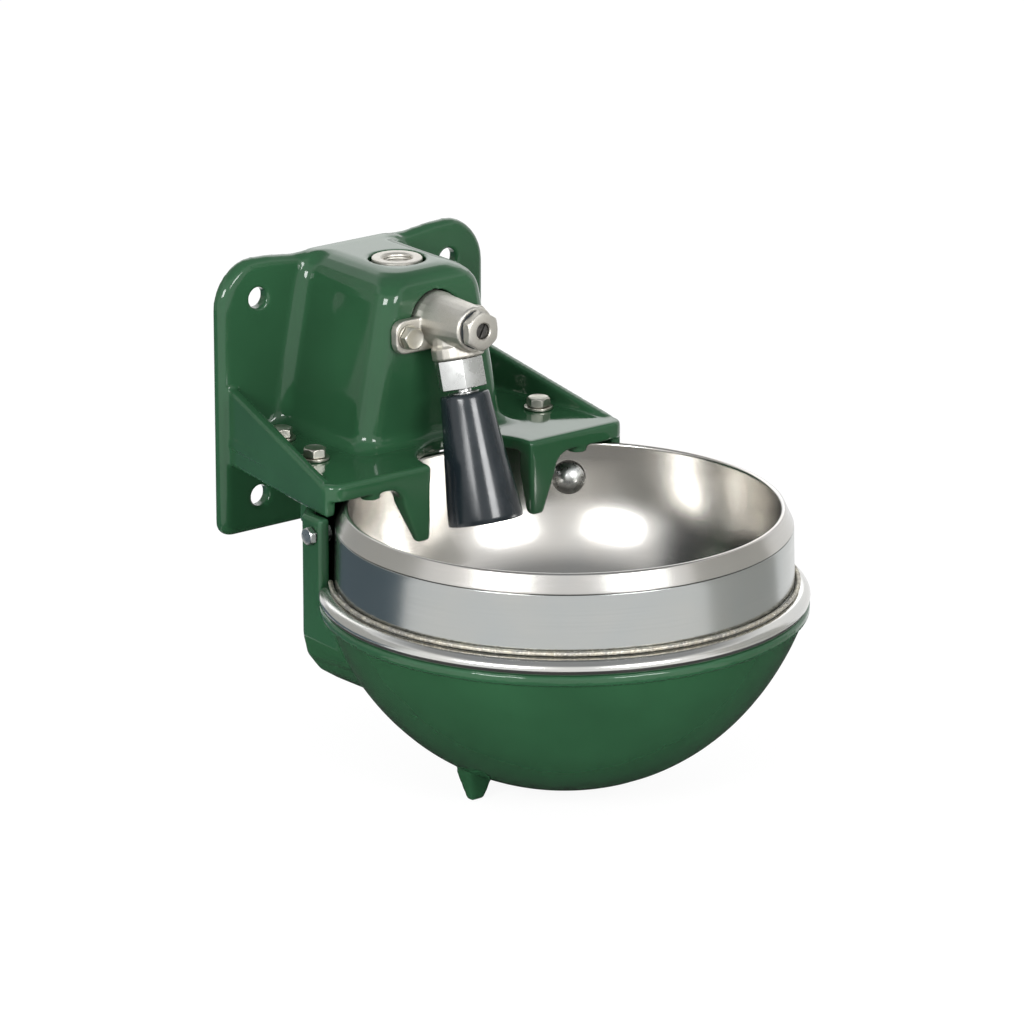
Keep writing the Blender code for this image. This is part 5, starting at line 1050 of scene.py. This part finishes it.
class DRINKER_OT_nozzle(bpy.types.Operator):
    """Rubber nozzle and its steel stem"""
    bl_idname = "drinker.nozzle"
    bl_label = "Nozzle"

    def execute(self, context):
        sizes = settings("drinker_nozzle")
        top, wide = sizes.top_from_pivot, sizes.end_radius
        end = top + sizes.reach
        span = wide - sizes.top_radius
        stem, flange = 4.8 * MM, 8.8 * MM
        groove_top, groove_end, room = 28.2 * MM, 31.8 * MM, 34.5 * MM

        def outside(share):
            return sizes.top_radius + span * (0.72 * share + 0.28 * math.sin(share * math.pi / 2) ** 2)

        profile = [(stem, top), (sizes.top_radius - 1.6 * MM, top),
                   (sizes.top_radius - 0.7 * MM, top + 0.25 * MM), (sizes.top_radius - 0.1 * MM, top + 1.1 * MM)]
        profile += [(outside(step / 24), top + sizes.reach * step / 24) for step in range(1, 24)]
        profile += [(wide - 0.1 * MM, end - 0.9 * MM), (wide - 0.5 * MM, end - 0.3 * MM), (wide - 1.1 * MM, end),
                    (wide - sizes.wall + 0.8 * MM, end), (wide - sizes.wall, end - 0.8 * MM)]
        profile += [(outside(share) - sizes.wall, top + sizes.reach * share) for share in (0.9, 0.8, 0.7, 0.65)]
        profile += [(stem + 5 * MM, room + 4 * MM), (stem, room), (stem, groove_end), (flange, groove_end),
                    (flange, groove_top), (stem, groove_top)]
        item = spun("nozzle_moulded", profile, NOZZLE_FRAME, 96)
        finish_piece(item, "nozzle", ["nozzle"], 45, "nozzle")
        bevelled_copy("nozzle_stem", "nozzle_stem_turned", 0.2 * MM, "bright", "nozzle")
        return {"FINISHED"}


class DRINKER_OT_inner_parts(bpy.types.Operator):
    """Seals, spring, heater, foam and what else keeps its CAD form"""
    bl_idname = "drinker.inner_parts"
    bl_label = "Inner parts"

    def execute(self, context):
        looks = {"rubber": ["valve_seal", "cap_gasket", "screw_seal"], "foil": ["heating_plate"],
                 "foam": ["insulation"], "white": ["seat_ring", "liner_ring"],
                 "bright": ["spring_cup", "closing_spring", "earth_nut", "bowl_bolt_spacer"],
                 "zinc": ["bowl_bolt_washer", "bowl_bolt_nut"]}
        for finish, nodes in looks.items():
            for node in nodes:
                for slot in frame["nodes"][node].material_slots:
                    slot.material = FINISH[finish]
        return {"FINISHED"}


# Studio


STUDIO_MIDDLE = Vector((0, -0.2, -0.04))
LAMP_REACH, LAMP_RISE = 1.7, 0.72
CARD_RISE = 0.001
# painted shadow: a black disc on the floor under the object, seen only in reflections, stands in for the shade
# there
PAINTED_SHADOW_DISC = ((0.001, CARD_RISE), (0.33, CARD_RISE))
FLOOR_CARD = ((0.34, CARD_RISE), (1.6, CARD_RISE))
WALL_CARD = ((1.62, 0), (1.62, 1.3))
CAMERA_PLACE = (-2.3561, -3.1732, 1.1686)
CAMERA_AIM = Vector((0.01352, -0.150, -0.0559))
CAMERA_LENS = 232


def area_light(name, power, width, height, position):
    """A rectangular lamp that faces the object."""
    data = bpy.data.lights.new(name, "AREA")
    data.energy = power
    data.shape = "RECTANGLE"
    data.size = width
    data.size_y = height
    item = link_object(name, data)
    item.location = position
    item.rotation_euler = (STUDIO_MIDDLE - Vector(position)).to_track_quat("-Z", "Y").to_euler()


def background_rays(made):
    """1 for every ray that shows the white background: the camera's, a gloss's and a glass's."""
    rays = made.add("ShaderNodeLightPath").outputs
    seen = made.math("MAXIMUM", rays["Is Camera Ray"], rays["Is Glossy Ray"])
    return made.math("MAXIMUM", seen, rays["Is Transmission Ray"])


def studio_world(strength):
    """A plain room: white round the horizon and below it, darker overhead."""
    world = bpy.data.worlds.new("studio")
    bpy.context.scene.world = world
    world.use_nodes = True
    world.node_tree.nodes.clear()
    made = Nodes(world.node_tree)
    direction = made.add("ShaderNodeTexCoord").outputs["Generated"]
    height = made.add("ShaderNodeSeparateXYZ", {0: direction}).outputs["Z"]
    grade = made.add("ShaderNodeValToRGB", {0: height})
    white, overhead = grade.color_ramp.elements
    white.position, white.color = 0.62, (1, 1, 1, 1)
    overhead.position, overhead.color = 0.80, (0.34, 0.35, 0.36, 1)
    room = made.add("ShaderNodeBackground", {"Strength": strength})
    backdrop = made.add("ShaderNodeBackground", {"Color": grade.outputs[0]})
    mix = made.add("ShaderNodeMixShader", {0: background_rays(made), 1: room.outputs[0], 2: backdrop.outputs[0]})
    made.add("ShaderNodeOutputWorld", {0: mix.outputs[0]})


def floor_material():
    """Pale floor: white to the camera and in reflections, and it keeps the object's shadow."""
    shader = Shader("studio_floor", (0.82, 0.82, 0.82), 0.8)
    glow = shader.add("ShaderNodeEmission", {"Color": (1, 1, 1, 1), "Strength": 1.08})
    factor = shader.math("MULTIPLY", background_rays(shader), 0.86)
    mix = shader.add("ShaderNodeMixShader", {0: factor, 1: shader.surface.outputs[0], 2: glow.outputs[0]})
    shader.tree.links.new(mix.outputs[0], shader.tree.nodes["Material Output"].inputs["Surface"])
    return shader.material


def card(name, first, last, profile, material):
    """A card that only reflections show: a (radius, height) profile swept between two bearings in degrees."""
    centre = Vector((0, BOWL_AXIS.y, CAD_LOW.z))
    count = 12
    bm = bmesh.new()
    rows = []
    for step in range(count + 1):
        out = bearing(first + (last - first) * step / count)
        rows.append([bm.verts.new(centre + out * reach + Vector((0, 0, rise))) for reach, rise in profile])
    for row, following in zip(rows, rows[1:]):
        for i in range(len(profile) - 1):
            bm.faces.new((row[i], row[i + 1], following[i + 1], following[i]))
    item = link_object(name, mesh_from(bm, name))
    item.data.materials.append(material)
    for ray in ("camera", "diffuse", "shadow", "transmission"):
        setattr(item, "visible_" + ray, False)


def bearing(degrees):
    """Direction over the floor, from -Y towards +X."""
    return Vector((math.sin(math.radians(degrees)), -math.cos(math.radians(degrees)), 0))


class DRINKER_OT_stage(bpy.types.Operator):
    """Pale floor, studio lights and the camera"""
    bl_idname = "drinker.stage"
    bl_label = "Stage"

    def execute(self, context):
        studio = settings("drinker_studio")
        bm = bmesh.new()
        bmesh.ops.create_grid(bm, x_segments=1, y_segments=1, size=6)
        floor = link_object("floor", mesh_from(bm, "floor"))
        floor.location = (0, 0, CAD_LOW.z - MM / 2)
        floor.data.materials.append(floor_material())
        for side, power, degrees in (("left", studio.key, -68), ("right", studio.fill, -3)):
            place = STUDIO_MIDDLE + bearing(degrees) * LAMP_REACH + Vector((0, 0, LAMP_RISE))
            area_light(side + "_softbox", power, 0.72, 0.46, place)
        area_light("rear_panel", studio.top, 2.4, 1.0, (0.9, 1.4, 0.9))
        # the black card material is painted shadow: the floor's shade under the object, as reflections show it
        black, dark, grey = (Shader(name, shade, 1.0).material for name, shade in
                             (("black_card", (0.05, 0.05, 0.05)), ("dark_card", studio.flag),
                              ("grey_card", studio.wall)))
        # painted shadow: black disc under the object, for reflections only
        card("low_card", -180, 180, PAINTED_SHADOW_DISC, black)
        for side, first, last, material in (("left", -178, -116, dark), ("right", 30, 80, grey)):
            card(side + "_flag", first, last, FLOOR_CARD, material)
            card(side + "_wall", first, last, WALL_CARD, grey)
        studio_world(studio.room)
        data = bpy.data.cameras.new("camera")
        data.lens = CAMERA_LENS
        data.sensor_width = 36
        data.clip_end = 50
        camera = link_object("camera", data)
        camera.location = CAMERA_PLACE
        camera.rotation_euler = (CAMERA_AIM - camera.location).to_track_quat("-Z", "Y").to_euler()
        context.scene.camera = camera
        context.scene.view_settings.view_transform = "Standard"
        return {"FINISHED"}


class DRINKER_PT_panel(bpy.types.Panel):
    """Lists the pieces of the drinking bowl"""
    bl_label = "Drinking bowl"
    bl_idname = "DRINKER_PT_panel"
    bl_space_type = "VIEW_3D"
    bl_region_type = "UI"
    bl_category = "Drinking bowl"

    def draw(self, context):
        for name, _ in GROUPS:
            group = getattr(context.scene, name)
            box = self.layout.box()
            for field in group.bl_rna.properties:
                if field.identifier not in ("name", "rna_type"):
                    box.prop(group, field.identifier)
        for operator in STEPS:
            self.layout.operator(operator.bl_idname)


GROUPS = [("drinker_bowl", BowlSizes), ("drinker_castings", CastingSizes), ("drinker_nozzle", NozzleSizes),
          ("drinker_finishes", Finishes), ("drinker_studio", Studio)]
STEPS = [DRINKER_OT_castings, DRINKER_OT_bowl, DRINKER_OT_weld, DRINKER_OT_fasteners, DRINKER_OT_valve,
         DRINKER_OT_nozzle, DRINKER_OT_inner_parts, DRINKER_OT_stage]


def register():
    for _, group in GROUPS:
        bpy.utils.register_class(group)
    for name, group in GROUPS:
        setattr(bpy.types.Scene, name, PointerProperty(type=group))
    for operator in STEPS + [DRINKER_PT_panel]:
        bpy.utils.register_class(operator)


def unregister():
    for operator in reversed(STEPS + [DRINKER_PT_panel]):
        bpy.utils.unregister_class(operator)
    for name, group in reversed(GROUPS):
        delattr(bpy.types.Scene, name)
        bpy.utils.unregister_class(group)


def main():
    register()
    make_finishes()
    make_trees()
    for operator in STEPS:
        getattr(bpy.ops.drinker, operator.bl_idname.split(".")[1])()


if __name__ == "__main__":
    main()
